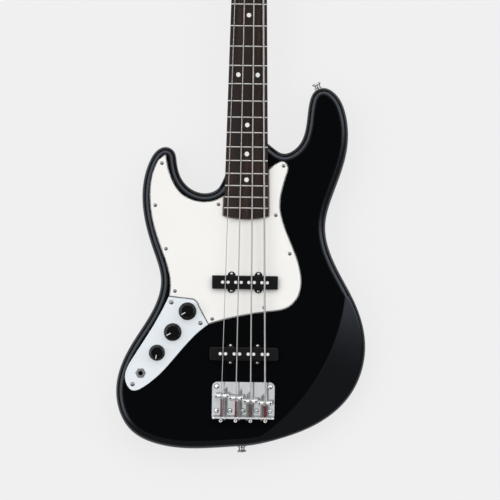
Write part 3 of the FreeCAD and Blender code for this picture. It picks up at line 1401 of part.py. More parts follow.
def make_neck_plate():
    body = new_body("neck_plate")
    outline = sketch_on(body, "XY_Plane")
    draw_rectangle(outline, "Sizes.neck_plate_width", "Sizes.neck_plate_length")
    pad(body, outline, "Sizes.neck_plate_thickness")
    doc.recompute()
    soften(body, lambda e: abs(e.tangentAt(e.FirstParameter).z) > 0.9, "Sizes.neck_screw_diameter")
    holes = sketch_on(body, "XY_Plane")
    for sx in ("-", ""):
        for sy in ("-", ""):
            draw_circle(holes, "Sizes.neck_screw_diameter / 2 + Sizes.wood_gap",
                        sx + "Sizes.neck_screw_spacing_x / 2", sy + "Sizes.neck_screw_spacing_y / 2")
    pocket(body, holes)
    body.Placement.Base = V(0, BRIDGE_Y + size("neck_plate_place"), size("neck_screw_head"))
    group("neck_screws", [placed(neck_screw.Shape, spot, UPSIDE_DOWN) for spot in neck_screw_spots()])


strap_button = turned("strap_button", [
    ("Sizes.strap_screw_diameter / 2 + Sizes.wood_gap", "0"),
    ("Sizes.strap_button_waist / 2 + Sizes.strap_button_flare", "0"),
    ("Sizes.strap_button_waist / 2 + Sizes.strap_button_flare", "Sizes.strap_button_rim"),
    ("Sizes.strap_button_waist / 2", "2 * Sizes.strap_button_rim"),
    ("Sizes.strap_button_waist / 2", "Sizes.strap_button_height - 2 * Sizes.strap_button_sink"),
    ("Sizes.strap_button_diameter / 2", "Sizes.strap_button_height - 2 * Sizes.strap_button_rim"),
    ("Sizes.strap_button_diameter / 2", "Sizes.strap_button_height - Sizes.strap_button_rim"),
    ("Sizes.strap_button_diameter / 2 - Sizes.strap_button_rim", "Sizes.strap_button_height"),
    ("Sizes.strap_screw_diameter + 3 * Sizes.wood_gap", "Sizes.strap_button_height"),
    ("Sizes.strap_screw_diameter + 3 * Sizes.wood_gap",
     "Sizes.strap_button_height - Sizes.strap_button_sink"),
    ("Sizes.strap_screw_diameter / 2 + Sizes.wood_gap",
     "Sizes.strap_button_height - Sizes.strap_button_sink"),
])
strap_screw = screw("strap_screw", "2 * Sizes.strap_screw_diameter", "Sizes.strap_button_sink",
                    "Sizes.strap_screw_diameter", "Sizes.strap_screw_length")


def make_strap_buttons():
    buttons, screws = [], []
    for name in STRAP_POINTS:
        seat, outward = strap_seat(name)
        turn = FreeCAD.Rotation(UP, outward)
        buttons.append(placed(strap_button.Shape, seat, turn))
        head_seat = seat + outward * (size("strap_button_height") - size("strap_button_sink"))
        screws.append(placed(strap_screw.Shape, head_seat, turn))
    group("strap_buttons", buttons)
    group("strap_button_screws", screws)


make_body()
make_neck()
feature("truss_rod", truss_rod_shape(0))
make_fretboard()
make_frets()
make_nut()
make_neck_plate()
make_pickguard()
make_control_plate()
make_controls()
make_jack()
group("pickup_foams", [make_pickup("neck"), make_pickup("bridge")])
make_bridge_plate()
make_springs()
make_strap_buttons()
make_tuners()
make_string_tree()
make_ball_ends()
for line in STRINGS:
    make_string(line)
    make_saddle(line)
    make_intonation_screw(line)
doc.recompute()

for item in doc.Objects:
    if "Invalid" in item.State or "Error" in item.State:
        raise RuntimeError("%s did not build" % item.Label)
for label, item in NODES.items():
    if item.Shape.isNull() or not item.Shape.isValid():
        raise RuntimeError("%s has no valid shape" % label)

os.makedirs("parts", exist_ok=True)
for label, item in NODES.items():
    item.Shape.exportStep("parts/%s.step" % label)
print("%d sub-parts written" % len(NODES))
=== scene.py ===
"""Left-handed four-string electric bass: finishes, small parts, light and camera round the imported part."""

import json
import math

import bmesh
import bpy
import numpy as np
from mathutils import Matrix, Vector

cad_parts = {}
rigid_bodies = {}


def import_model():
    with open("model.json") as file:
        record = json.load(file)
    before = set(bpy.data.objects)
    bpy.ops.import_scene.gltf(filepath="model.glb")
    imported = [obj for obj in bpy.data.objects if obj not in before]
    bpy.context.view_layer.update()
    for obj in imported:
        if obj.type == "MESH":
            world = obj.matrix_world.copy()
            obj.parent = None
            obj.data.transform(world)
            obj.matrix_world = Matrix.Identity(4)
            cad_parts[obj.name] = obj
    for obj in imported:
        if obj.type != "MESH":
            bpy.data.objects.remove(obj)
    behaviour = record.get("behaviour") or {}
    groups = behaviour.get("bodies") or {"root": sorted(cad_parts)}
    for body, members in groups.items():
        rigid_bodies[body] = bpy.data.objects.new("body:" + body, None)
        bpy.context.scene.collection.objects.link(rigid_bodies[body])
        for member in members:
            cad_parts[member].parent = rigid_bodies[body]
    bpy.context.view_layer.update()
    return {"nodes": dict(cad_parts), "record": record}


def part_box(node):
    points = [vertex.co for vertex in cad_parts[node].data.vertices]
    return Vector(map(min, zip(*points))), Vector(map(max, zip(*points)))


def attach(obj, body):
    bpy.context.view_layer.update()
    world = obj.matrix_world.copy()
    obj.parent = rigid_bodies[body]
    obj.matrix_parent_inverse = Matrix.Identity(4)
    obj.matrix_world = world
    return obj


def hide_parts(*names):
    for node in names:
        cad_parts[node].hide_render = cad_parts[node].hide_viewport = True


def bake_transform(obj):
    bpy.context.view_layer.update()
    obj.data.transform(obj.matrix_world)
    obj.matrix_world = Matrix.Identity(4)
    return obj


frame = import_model()
NODES = frame["nodes"]
BODY_OF = {node: body for body, members in frame["record"]["behaviour"]["bodies"].items()
           for node in members}
MM = 0.001
STRINGS = ("e", "a", "d", "g")


def hex_colour(code):
    """A #RRGGBB screen colour as the linear colour that shaders take."""
    parts = [int(code[at:at + 2], 16) / 255 for at in (1, 3, 5)]
    return tuple(c / 12.92 if c <= 0.04045 else ((c + 0.055) / 1.055) ** 2.4 for c in parts) + (1.0,)


def add_node(tree, kind, inputs=None, **settings):
    """One shader node: its own settings, and each input as a value or as the output that feeds it."""
    made = tree.nodes.new("ShaderNode" + kind)
    for name, value in settings.items():
        setattr(made, name, value)
    for name, value in (inputs or {}).items():
        if isinstance(value, bpy.types.NodeSocket):
            tree.links.new(value, made.inputs[name])
        else:
            made.inputs[name].default_value = value
    return made


def finish_named(name, **constants):
    """A material of one Principled shader, with what is the same all over set on its own sockets."""
    material = bpy.data.materials.new(name)
    material.use_nodes = True
    tree = material.node_tree
    shader = tree.nodes["Principled BSDF"]
    for socket, value in constants.items():
        shader.inputs[socket.replace("_", " ")].default_value = value
    place = add_node(tree, "TexCoord").outputs["Object"]
    return material, tree, shader, place


# Materials

def gloss_black_polyester():
    """Sprayed and buffed black lacquer: a deep mirror with a trace of orange peel and polishing haze."""
    # The cool tint of its reflections is painted: it stands in for the bluish light that the body's edges
    # reflect.
    material, tree, shader, place = finish_named(
        "gloss_black_polyester", Base_Color=hex_colour("#040506"), IOR=1.46,
        Specular_Tint=hex_colour("#E4EFFF"))
    haze = add_node(tree, "TexNoise", {"Vector": place, "Scale": 1 / (40 * MM), "Detail": 4.0})
    rough = add_node(tree, "MapRange", {"Value": haze.outputs["Fac"], "To Min": 0.03, "To Max": 0.09})
    tree.links.new(rough.outputs["Result"], shader.inputs["Roughness"])
    peel = add_node(tree, "TexNoise", {"Vector": place, "Scale": 1 / (6 * MM), "Detail": 1.0})
    bump = add_node(tree, "Bump", {"Height": peel.outputs["Fac"], "Strength": 0.03, "Distance": 0.4 * MM})
    tree.links.new(bump.outputs["Normal"], shader.inputs["Normal"])
    return material


def maple_satin():
    """Quarter-sawn maple under satin lacquer: pale honey with fine long grain and faint flame across it."""
    material, tree, shader, place = finish_named("maple_satin", IOR=1.5)
    along = add_node(tree, "Mapping", {"Vector": place, "Scale": (1.0, 0.03, 1.0)})
    grain = add_node(tree, "TexNoise", {
        "Vector": along.outputs["Vector"], "Scale": 1 / (1.6 * MM), "Detail": 5.0, "Distortion": 0.4})
    across = add_node(tree, "Mapping", {"Vector": place, "Scale": (0.12, 1.0, 0.3)})
    flame = add_node(tree, "TexNoise", {
        "Vector": across.outputs["Vector"], "Scale": 1 / (14 * MM), "Detail": 2.0})
    wood = add_node(tree, "Mix", {
        0: grain.outputs["Fac"], 6: hex_colour("#D9AE73"), 7: hex_colour("#B98345")}, data_type="RGBA")
    lit = add_node(tree, "Mix", {
        0: flame.outputs["Fac"], 6: wood.outputs[2], 7: hex_colour("#E3BE88")}, data_type="RGBA")
    tree.links.new(lit.outputs[2], shader.inputs["Base Color"])
    rough = add_node(tree, "MapRange", {"Value": grain.outputs["Fac"], "To Min": 0.28, "To Max": 0.42})
    tree.links.new(rough.outputs["Result"], shader.inputs["Roughness"])
    bump = add_node(tree, "Bump", {"Height": grain.outputs["Fac"], "Strength": 0.06, "Distance": 0.2 * MM})
    tree.links.new(bump.outputs["Normal"], shader.inputs["Normal"])
    return material


def oiled_rosewood():
    """Oiled rosewood: dark brown with near-black streaks along the board and short open pores."""
    material, tree, shader, place = finish_named("oiled_rosewood", IOR=1.4)
    along = add_node(tree, "Mapping", {"Vector": place, "Scale": (1.0, 0.025, 1.0)})
    streak = add_node(tree, "TexNoise", {
        "Vector": along.outputs["Vector"], "Scale": 1 / (3.5 * MM), "Detail": 6.0, "Roughness": 0.62,
        "Distortion": 0.5})
    warm = add_node(tree, "TexNoise", {
        "Vector": along.outputs["Vector"], "Scale": 1 / (11 * MM), "Detail": 2.0})
    pores_at = add_node(tree, "Mapping", {"Vector": place, "Scale": (1.0, 0.11, 1.0)})
    pores = add_node(tree, "TexNoise", {
        "Vector": pores_at.outputs["Vector"], "Scale": 1 / (0.9 * MM), "Detail": 2.0})
    pit = add_node(tree, "MapRange", {
        "Value": pores.outputs["Fac"], "From Min": 0.36, "From Max": 0.46, "To Min": 0.0, "To Max": 1.0})
    reddish = add_node(tree, "MapRange", {
        "Value": warm.outputs["Fac"], "From Min": 0.42, "From Max": 0.62, "To Min": 0.0, "To Max": 1.0})
    brown = add_node(tree, "Mix", {
        0: reddish.outputs["Result"], 6: hex_colour("#291F1B"), 7: hex_colour("#3D2A22")}, data_type="RGBA")
    dark = add_node(tree, "MapRange", {
        "Value": streak.outputs["Fac"], "From Min": 0.40, "From Max": 0.66, "To Min": 0.0, "To Max": 1.0})
    wood = add_node(tree, "Mix", {
        0: dark.outputs["Result"], 6: brown.outputs[2], 7: hex_colour("#181210")}, data_type="RGBA")
    grain = add_node(tree, "Mix", {
        0: pit.outputs["Result"], 6: hex_colour("#15100E"), 7: wood.outputs[2]}, data_type="RGBA")
    tree.links.new(grain.outputs[2], shader.inputs["Base Color"])
    rough = add_node(tree, "MapRange", {"Value": streak.outputs["Fac"], "To Min": 0.28, "To Max": 0.4})
    tree.links.new(rough.outputs["Result"], shader.inputs["Roughness"])
    bump = add_node(tree, "Bump", {
        "Height": pit.outputs["Result"], "Strength": 0.25, "Distance": 0.15 * MM})
    tree.links.new(bump.outputs["Normal"], shader.inputs["Normal"])
    return material


def worn_metal(name, colour, smooth, worn, brushed=0.0, grit=0.5 * MM, stretch=(1.0, 1.0, 1.0)):
    """A polished or plated metal: handling haze in its gloss, and fine lines where brushed or wound."""
    material, tree, shader, place = finish_named(name, Base_Color=hex_colour(colour), Metallic=1.0)
    haze = add_node(tree, "TexNoise", {
        "Vector": place, "Scale": 1 / (7 * MM), "Detail": 5.0, "Roughness": 0.6})
    rough = add_node(tree, "MapRange", {
        "Value": haze.outputs["Fac"], "From Min": 0.3, "From Max": 0.7, "To Min": smooth, "To Max": worn})
    tree.links.new(rough.outputs["Result"], shader.inputs["Roughness"])
    if brushed:
        lines_at = add_node(tree, "Mapping", {"Vector": place, "Scale": stretch})
        lines = add_node(tree, "TexNoise", {
            "Vector": lines_at.outputs["Vector"], "Scale": 1 / grit, "Detail": 3.0})
        bump = add_node(tree, "Bump", {
            "Height": lines.outputs["Fac"], "Strength": brushed, "Distance": 0.05 * MM})
        tree.links.new(bump.outputs["Normal"], shader.inputs["Normal"])
    return material


def plastic(name, colour, low, high, texture=0.0, grain=0.8 * MM, clouds=None, index=1.49):
    """A moulded or cut plastic: even colour, gloss between two roughnesses, and a fine mould texture."""
    material, tree, shader, place = finish_named(name, Base_Color=hex_colour(colour), IOR=index)
    haze = add_node(tree, "TexNoise", {"Vector": place, "Scale": 1 / (15 * MM), "Detail": 4.0})
    rough = add_node(tree, "MapRange", {"Value": haze.outputs["Fac"], "To Min": low, "To Max": high})
    tree.links.new(rough.outputs["Result"], shader.inputs["Roughness"])
    if texture:
        mould = add_node(tree, "TexNoise", {"Vector": place, "Scale": 1 / grain, "Detail": 2.0})
        bump = add_node(tree, "Bump", {
            "Height": mould.outputs["Fac"], "Strength": texture, "Distance": 0.1 * MM})
        tree.links.new(bump.outputs["Normal"], shader.inputs["Normal"])
    if clouds:
        size, second = clouds
        swirl = add_node(tree, "TexNoise", {
            "Vector": place, "Scale": 1 / size, "Detail": 3.0, "Distortion": 1.5})
        mix = add_node(tree, "Mix", {
            0: swirl.outputs["Fac"], 6: hex_colour(colour), 7: hex_colour(second)}, data_type="RGBA")
        tree.links.new(mix.outputs[2], shader.inputs["Base Color"])
    return material


# The heights between which the pickguard's sheet is black
PLY_CORE = (48.8 * MM, 49.5 * MM)


def three_ply_vinyl():
    """Laminated vinyl sheet: white faces with a black core that shows where the edge is cut on a slant."""
    material, tree, shader, place = finish_named("three_ply_vinyl", IOR=1.49)
    height = add_node(tree, "SeparateXYZ", {"Vector": place})
    low, high = PLY_CORE
    above = add_node(tree, "Math", {0: height.outputs["Z"], 1: low}, operation="GREATER_THAN")
    below = add_node(tree, "Math", {0: height.outputs["Z"], 1: high}, operation="LESS_THAN")
    core = add_node(tree, "Math", {0: above.outputs[0], 1: below.outputs[0]}, operation="MULTIPLY")
    cloud = add_node(tree, "TexNoise", {"Vector": place, "Scale": 1 / (60 * MM), "Detail": 3.0})
    white = add_node(tree, "Mix", {
        0: cloud.outputs["Fac"], 6: hex_colour("#F7F6F3"), 7: hex_colour("#F2F1EE")}, data_type="RGBA")
    sheet = add_node(tree, "Mix", {
        0: core.outputs[0], 6: white.outputs[2], 7: hex_colour("#141414")}, data_type="RGBA")
    tree.links.new(sheet.outputs[2], shader.inputs["Base Color"])
    haze = add_node(tree, "TexNoise", {"Vector": place, "Scale": 1 / (12 * MM), "Detail": 5.0})
    rough = add_node(tree, "MapRange", {"Value": haze.outputs["Fac"], "To Min": 0.28, "To Max": 0.42})
    tree.links.new(rough.outputs["Result"], shader.inputs["Roughness"])
    return material


BLACK_LACQUER = gloss_black_polyester()
MAPLE = maple_satin()
ROSEWOOD = oiled_rosewood()
THREE_PLY = three_ply_vinyl()
# Plated parts: a cool bright mirror where polished, an even pale sheen where satin or brushed. Brushing is
# finer than this, and is drawn as coarse as it needs to show.
CHROME = worn_metal("chrome_plate", "#D5D8DB", 0.08, 0.18)
SATIN_CHROME = worn_metal("satin_chrome_plate", "#D8DDE1", 0.42, 0.45, 0.06, 0.4 * MM)
BRIDGE_CHROME = worn_metal("brushed_chrome_bridge", "#DDE0E3", 0.28, 0.3, 0.08, 0.4 * MM)
SADDLE_CHROME = worn_metal("turned_chrome_barrels", "#ECEDEE", 0.42, 0.5)
SCREW_CHROME = worn_metal("chromed_screws", "#D2D4D6", 0.14, 0.22)
# Nickel: warmer and darker than chrome, so that small heads and nuts stand out on pale plates. On the screws
# the grey is far darker than nickel is: painted shade, standing in for the shade round small domed heads.
BUTTON_NICKEL = worn_metal("turned_nickel_buttons", "#B4B6B9", 0.14, 0.24)
JACK_NICKEL = worn_metal("nickelled_jack_nut", "#C2C4C6", 0.3, 0.36)
SCREW_GREY_PAINTED_SHADE = worn_metal("nickelled_screws", "#86888B", 0.16, 0.24)
BALL_NICKEL = worn_metal("nickelled_ball_ends", "#E4E2DC", 0.35, 0.5)
NICKEL_SILVER = worn_metal("nickel_silver_frets", "#CFCDC8", 0.3, 0.4)
# Steel: plain grey, from ground white pole tops to blackened screws. Threads show as lines across the rod.
STEEL = worn_metal("zinc_plated_steel", "#C2C3C4", 0.2, 0.36)
SPRING_STEEL = worn_metal("spring_steel_wire", "#8C8C8B", 0.25, 0.4)
THREADED_STEEL = worn_metal(
    "threaded_steel_rod", "#8E8E8D", 0.25, 0.4, brushed=0.9, grit=0.6 * MM, stretch=(0.02, 1.0, 0.02))
POLE_STEEL = worn_metal("ground_steel_poles", "#EAEAE8", 0.5, 0.58)
BLACK_OXIDE = worn_metal("black_oxide_steel", "#1C1C1E", 0.4, 0.55)
# Wound wire: fine ribs across the string and along the coil, drawn coarser than the wire so that they show.
WOUND_STEEL = worn_metal(
    "nickel_wound_strings", "#B4B2AF", 0.3, 0.45, brushed=0.8, grit=0.7 * MM, stretch=(0.05, 1.0, 0.05))
COPPER = worn_metal(
    "enamelled_copper_wire", "#8A3F22", 0.3, 0.45, brushed=0.4, grit=0.35 * MM, stretch=(0.05, 0.05, 1.0))
# Thread: dull and softly ribbed, the ribs drawn coarser than the thread so that they show.
RED_SILK = plastic("red_silk_thread", "#66252D", 0.7, 0.85, 0.5, 0.5 * MM)
BROWN_SILK = plastic("brown_silk_thread", "#5A4440", 0.7, 0.85, 0.5, 0.5 * MM)
# Inlay and nut: milky, with soft clouds under a polish.
PEARLOID = plastic("pearloid_dots", "#FBFAF8", 0.12, 0.25, clouds=(2.5 * MM, "#EEECE9"))
BONE = plastic("bone_nut", "#EFE7D4", 0.35, 0.5, clouds=(1.5 * MM, "#E0D5BC"))
# Moulded black: an even half-gloss on the covers, a little glossier on the knobs.
MOULDED_BLACK = plastic("moulded_black_abs", "#08090B", 0.3, 0.38, 0.08, index=1.36)
KNOB_BLACK = plastic("moulded_black_phenolic", "#08080A", 0.2, 0.28, index=1.36)
POINTER_WHITE = plastic("white_pointer_paint", "#F2F2F0", 0.4, 0.5)
FOAM = plastic("grey_foam", "#5A5B5D", 0.9, 1.0, 0.8, 1.2 * MM)

# Making pieces

# Points of a CAD mesh closer than this are one, and faces that bend less than this are one.
MERGE, FLAT_ENOUGH = 0.002 * MM, math.radians(0.6)
# How much of a normal points up, or any one way, on a face that counts as facing so, or as upright.
FACING, UPRIGHT = 0.9, 0.3


def only(piece):
    """Selects one piece and nothing else, and makes it active."""
    bpy.ops.object.select_all(action="DESELECT")
    piece.select_set(True)
    bpy.context.view_layer.objects.active = piece


def join_all(pieces):
    """Joins pieces into the first of them."""
    bpy.ops.object.select_all(action="DESELECT")
    for piece in pieces:
        piece.select_set(True)
    bpy.context.view_layer.objects.active = pieces[0]
    bpy.ops.object.join()


def combine(piece, tool, operation):
    """Cuts or crosses a piece with a tool, and clears the tool away."""
    only(piece)
    cut = piece.modifiers.new("cut", "BOOLEAN")
    cut.object = tool
    cut.operation = operation
    cut.solver = "EXACT"
    bpy.ops.object.modifier_apply(modifier=cut.name)
    bpy.data.objects.remove(tool)


def copy_of(node, name):
    """A merged copy of a CAD node's mesh, in place, to shape further."""
    piece = bpy.data.objects.new(name, NODES[node].data.copy())
    bpy.context.scene.collection.objects.link(piece)
    only(piece)
    bpy.ops.object.mode_set(mode="EDIT")
    bpy.ops.mesh.select_all(action="SELECT")
    bpy.ops.mesh.remove_doubles(threshold=MERGE)
    bpy.ops.mesh.customdata_custom_splitnormals_clear()
    bpy.ops.object.mode_set(mode="OBJECT")
    return piece


def settle(piece, node, material, smooth=32.0):
    """Gives a finished piece its material, its shading and its body, and hides the node that it stands for.
    """
    piece.data.materials.clear()
    piece.data.materials.append(material)
    only(piece)
    bpy.ops.object.shade_smooth_by_angle(angle=math.radians(smooth))
    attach(piece, BODY_OF[node])
    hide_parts(node)


def connected(starts, neighbours):
    """Groups of things that hang together, each found from one of the starts through its neighbours."""
    groups, seen = [], set()
    for first in starts:
        if first in seen:
            continue
        seen.add(first)
        group, queue = [], [first]
        while queue:
            one = queue.pop()
            group.append(one)
            for other in neighbours(one):
                if other not in seen:
                    seen.add(other)
                    queue.append(other)
        groups.append(group)
    return groups


def bevel_outline(piece, width, segments=1):
    """Bevels the outer edge of the piece's top face. Its holes keep their square edges."""
    top = max(v.co.z for v in piece.data.vertices)
    only(piece)
    bpy.ops.object.mode_set(mode="EDIT")
    bpy.ops.mesh.select_all(action="SELECT")
    bpy.ops.mesh.dissolve_limited(angle_limit=FLAT_ENOUGH)
    bpy.ops.mesh.select_all(action="DESELECT")
    bpy.ops.mesh.select_mode(type="EDGE")
    mesh = bmesh.from_edit_mesh(piece.data)
    rims = []
    for edge in mesh.edges:
        ups = [abs(face.normal.z) for face in edge.link_faces]
        square = len(ups) == 2 and max(ups) > FACING and min(ups) < UPRIGHT
        if square and all(v.co.z > top - 0.02 * MM for v in edge.verts):
            rims.append(edge)
    on_rim = set(rims)
    loops = connected(rims, lambda edge: [
        other for v in edge.verts for other in v.link_edges if other in on_rim])
    for edge in max(loops, key=lambda loop: sum(e.calc_length() for e in loop)):
        edge.select = True
    bmesh.update_edit_mesh(piece.data)
    bpy.ops.mesh.bevel(offset=width, segments=segments, affect="EDGES", profile=0.5, clamp_overlap=False)
    bpy.ops.object.mode_set(mode="OBJECT")


def islands(mesh):
    """The points of each loose part of a mesh."""
    joined = bmesh.new()
    joined.from_mesh(mesh)
    bmesh.ops.remove_doubles(joined, verts=joined.verts, dist=MERGE)
    groups = connected(joined.verts, lambda v: [edge.other_vert(v) for edge in v.link_edges])
    points = [[tuple(v.co) for v in group] for group in groups]
    joined.free()
    return points


def screw_facts(node):
    """Each screw of a node: the middle of its head's top, the way that faces, and its four main sizes."""
    facts = []
    for group in islands(NODES[node].data):
        points = np.array(group)
        middle = (points.min(axis=0) + points.max(axis=0)) / 2
        axis = np.linalg.eigh(np.cov((points - points.mean(axis=0)).T))[1][:, -1]
        axis = np.eye(3)[np.abs(axis).argmax()] if np.abs(axis).max() > 0.999 else axis
        along = (points - middle) @ axis
        wide = np.linalg.norm(points - middle - np.outer(along, axis), axis=1)
        rim = along[wide > 0.9 * wide.max()]
        if rim.mean() < 0:
            axis, along, rim = -axis, -along, -rim
        top = along.max()
        shank = wide[along < rim.min() - 0.1 * MM].max()
        facts.append((Vector(middle + axis * top), Vector(axis), float(wide.max()),
                      float(top - rim.min()), float(shank), float(top - along.min())))
    return sorted(facts, key=lambda fact: (round(fact[0].x, 4), round(fact[0].y, 4)))


# A cross recess, in shares of the head's radius, and how far its arms narrow downwards
CROSS_CORE, CROSS_ARM, CROSS_DEPTH, CROSS_TAPER = 0.24, 0.36, 0.42, 0.45


def cross_cutter(radius):
    """The tip of a cross-head driver: a small block with four arms that narrow downwards, facing +Z."""
    core, arm, depth = CROSS_CORE * radius, CROSS_ARM * radius, CROSS_DEPTH * radius
    bpy.ops.mesh.primitive_cube_add(size=1)
    cutter = bpy.context.object
    cutter.scale = (core, core, 2 * depth)
    bpy.ops.object.transform_apply(location=False, rotation=False, scale=True)
    bpy.ops.object.mode_set(mode="EDIT")
    bpy.ops.mesh.select_mode(type="FACE")
    for way in (Vector((1, 0, 0)), Vector((-1, 0, 0)), Vector((0, 1, 0)), Vector((0, -1, 0))):
        bpy.ops.mesh.select_all(action="DESELECT")
        block = bmesh.from_edit_mesh(cutter.data)
        for face in block.faces:
            faces_way = face.normal.dot(way) > FACING
            face.select_set(bool(faces_way and face.calc_center_median().length < core))
        bmesh.update_edit_mesh(cutter.data)
        bpy.ops.mesh.extrude_region_move(TRANSFORM_OT_translate={"value": way * arm})
    bpy.ops.object.mode_set(mode="OBJECT")
    for v in cutter.data.vertices:
        if v.co.z < 0:
            v.co.x *= CROSS_TAPER
            v.co.y *= CROSS_TAPER
    return cutter


# An oval head in shares of its radius and height: where the dome starts, how far out it runs, how far and
# how curved it falls, and the steep rim below it. Then the point's length in shank radii.
DOME_START, DOME_RUN, DOME_FALL, DOME_CURVE, DOME_STEPS = 0.16, 0.54, 0.3, 1.5, 6
HEAD_RIM = ((0.96, 0.74), (1.0, 0.85), (1.0, 1.0))
POINT_LENGTH, SCREW_SIDES = 1.2, 28


def turned_screw(radius, height, shank, length):
    """One screw, head up at the origin: a profile spun about Z, with a cross pressed into its oval head."""
    dome = [(radius * (DOME_START + DOME_RUN * step / DOME_STEPS),
             -DOME_FALL * height * (step / DOME_STEPS) ** DOME_CURVE) for step in range(DOME_STEPS + 1)]
    rim = [(out * radius, -down * height) for out, down in HEAD_RIM]
    point = [(shank, -height), (shank, POINT_LENGTH * shank - length), (0, -length)]
    profile = [(0, 0)] + dome + rim + point
    mesh = bpy.data.meshes.new("screw")
    mesh.from_pydata([(r, 0, z) for r, z in profile], [(i, i + 1) for i in range(len(profile) - 1)], [])
    screw = bpy.data.objects.new("screw", mesh)
    bpy.context.scene.collection.objects.link(screw)
    only(screw)
    bpy.ops.object.mode_set(mode="EDIT")
    bpy.ops.mesh.select_all(action="SELECT")
    bpy.ops.mesh.spin(steps=SCREW_SIDES, angle=2 * math.pi, center=(0, 0, 0), axis=(0, 0, 1))
    bpy.ops.mesh.select_all(action="SELECT")
    bpy.ops.mesh.remove_doubles(threshold=MERGE)
    bpy.ops.mesh.normals_make_consistent(inside=False)
    bpy.ops.object.mode_set(mode="OBJECT")
    combine(screw, cross_cutter(radius), "DIFFERENCE")
    return screw


# How far the first screw of a node is turned, and each next one from the one before, in radians
FIRST_TURN, NEXT_TURN = 0.7, 2.4


def make_screws(node, material, wider=1.0, sunk=0.0):
    """All screws of a node, each turned its own way, their heads as wide and low as in the photograph."""
    facts = screw_facts(node)
    radius, height, shank, length = facts[0][2:]
    screw = turned_screw(radius * wider, height, shank, length - sunk)
    copies = []
    for number, (top, way, *_) in enumerate(facts):
        place = Matrix.Translation(top - way * sunk) @ way.to_track_quat("Z", "Y").to_matrix().to_4x4()
        one = bpy.data.objects.new("screw", screw.data.copy())
        bpy.context.scene.collection.objects.link(one)
        one.data.transform(place @ Matrix.Rotation(FIRST_TURN + NEXT_TURN * number, 4, "Z"))
        copies.append(one)
    bpy.data.objects.remove(screw)
    join_all(copies)
    copies[0].name = node + "_crossed"
    settle(copies[0], node, material, 38.0)


# A strap button's height against its solid's, the radius of its neck, how much of the flange's overhang is
# kept, its screw head's width against the solid's, and how far from that head the button's points lie
BUTTON_SHARE, BUTTON_NECK, BUTTON_FLANGE, BUTTON_HEAD, BUTTON_REACH = 0.8, 4.2 * MM, 0.6, 0.88, 40 * MM


def make_strap_buttons():
    """Turned buttons on their screws, as low and with as slim a flange as the photograph shows."""
    heads = screw_facts("strap_button_screws")
    buttons = copy_of("strap_buttons", "turned_strap_buttons")
    sunk = []
    for top, way, *_ in heads:
        near = [v for v in buttons.data.vertices if (v.co - top).length < BUTTON_REACH]
        base = min((v.co - top).dot(way) for v in near)
        for v in near:
            along = (v.co - top).dot(way)
            out = v.co - top - way * along
            if out.length > BUTTON_NECK:
                out *= (BUTTON_NECK + (out.length - BUTTON_NECK) * BUTTON_FLANGE) / out.length
            v.co = top + way * (base + (along - base) * BUTTON_SHARE) + out
        sunk.append(-base * (1 - BUTTON_SHARE))
    settle(buttons, "strap_buttons", BUTTON_NICKEL, 40.0)
    make_screws("strap_button_screws", SCREW_CHROME, BUTTON_HEAD, sunk[0])


# The stock that the nut's cone is turned from, how far in the cone runs and how far it falls, in half widths
# across flats
NUT_STOCK, NUT_CONE, NUT_FALL = 1.3, 0.41, 0.28


def make_jack_nut():
    """The hexagon nut of the socket, turned to a cone over its corners so that its top face is round."""
    nut = copy_of("jack_nut", "chamfered_jack_nut")
    low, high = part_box("jack_nut")
    flat, tall = (high.y - low.y) / 2, high.z - low.z
    bpy.ops.object.select_all(action="DESELECT")
    bpy.ops.mesh.primitive_cylinder_add(
        vertices=72, radius=NUT_STOCK * flat, depth=2 * tall,
        location=((low.x + high.x) / 2, (low.y + high.y) / 2, high.z - tall))
    cone = bpy.context.object
    bpy.ops.object.transform_apply()
    bpy.ops.object.mode_set(mode="EDIT")
    bpy.ops.mesh.select_mode(type="EDGE")
    bpy.ops.mesh.select_all(action="DESELECT")
    block = bmesh.from_edit_mesh(cone.data)
    for edge in block.edges:
        edge.select_set(all(v.co.z > high.z - 0.01 * MM for v in edge.verts))
    bmesh.update_edit_mesh(cone.data)
    bpy.ops.mesh.bevel(offset=NUT_CONE * flat, segments=1, affect="EDGES")
    bpy.ops.object.mode_set(mode="OBJECT")
    for v in cone.data.vertices:
        if low.z + 0.1 * MM < v.co.z < high.z - 0.1 * MM:
            v.co.z = high.z - NUT_FALL * flat
    combine(nut, cone, "INTERSECT")
    settle(nut, "jack_nut", JACK_NICKEL, 25.0)


# Where the pickguard's tip is cut off, the rounding at its pickup hole, and the width of its slanted edge
TIP_PLACE, TIP_WAY = Vector((-114.8, -163.3, 0)) * MM, Vector((-0.57, 0.82, 0))
PICKUP_CORNER, GUARD_SLANT = 1.6 * MM, 1.9 * MM


def make_pickguard():
    """White-black-white sheet, blunt at the horn, its edge cut on a slant that bares the black ply."""
    piece = copy_of("pickguard", "three_ply_pickguard")
    bpy.ops.object.mode_set(mode="EDIT")
    bpy.ops.mesh.select_all(action="SELECT")
    bpy.ops.mesh.bisect(plane_co=TIP_PLACE, plane_no=TIP_WAY, clear_outer=True, use_fill=True)
    bpy.ops.mesh.select_all(action="SELECT")
    bpy.ops.mesh.dissolve_limited(angle_limit=FLAT_ENOUGH)
    bpy.ops.mesh.select_all(action="DESELECT")
    bpy.ops.mesh.select_mode(type="EDGE")
    mesh = bmesh.from_edit_mesh(piece.data)
    low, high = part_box("neck_pickup_cover")
    for edge in mesh.edges:
        a, b = edge.verts
        at_pickup = all(low[i] - 2 * MM < a.co[i] < high[i] + 2 * MM for i in (0, 1))
        square = len(edge.link_faces) == 2 and edge.calc_face_angle() > math.radians(50)
        upright = abs(a.co.z - b.co.z) > 2 * MM and (a.co - b.co).xy.length < 0.1 * MM
        edge.select = bool(upright and at_pickup and square)
    bmesh.update_edit_mesh(piece.data)
    bpy.ops.mesh.bevel(offset=PICKUP_CORNER, segments=4, affect="EDGES", profile=0.5)
    bpy.ops.object.mode_set(mode="OBJECT")
    bevel_outline(piece, GUARD_SLANT)
    settle(piece, "pickguard", THREE_PLY, 20.0)


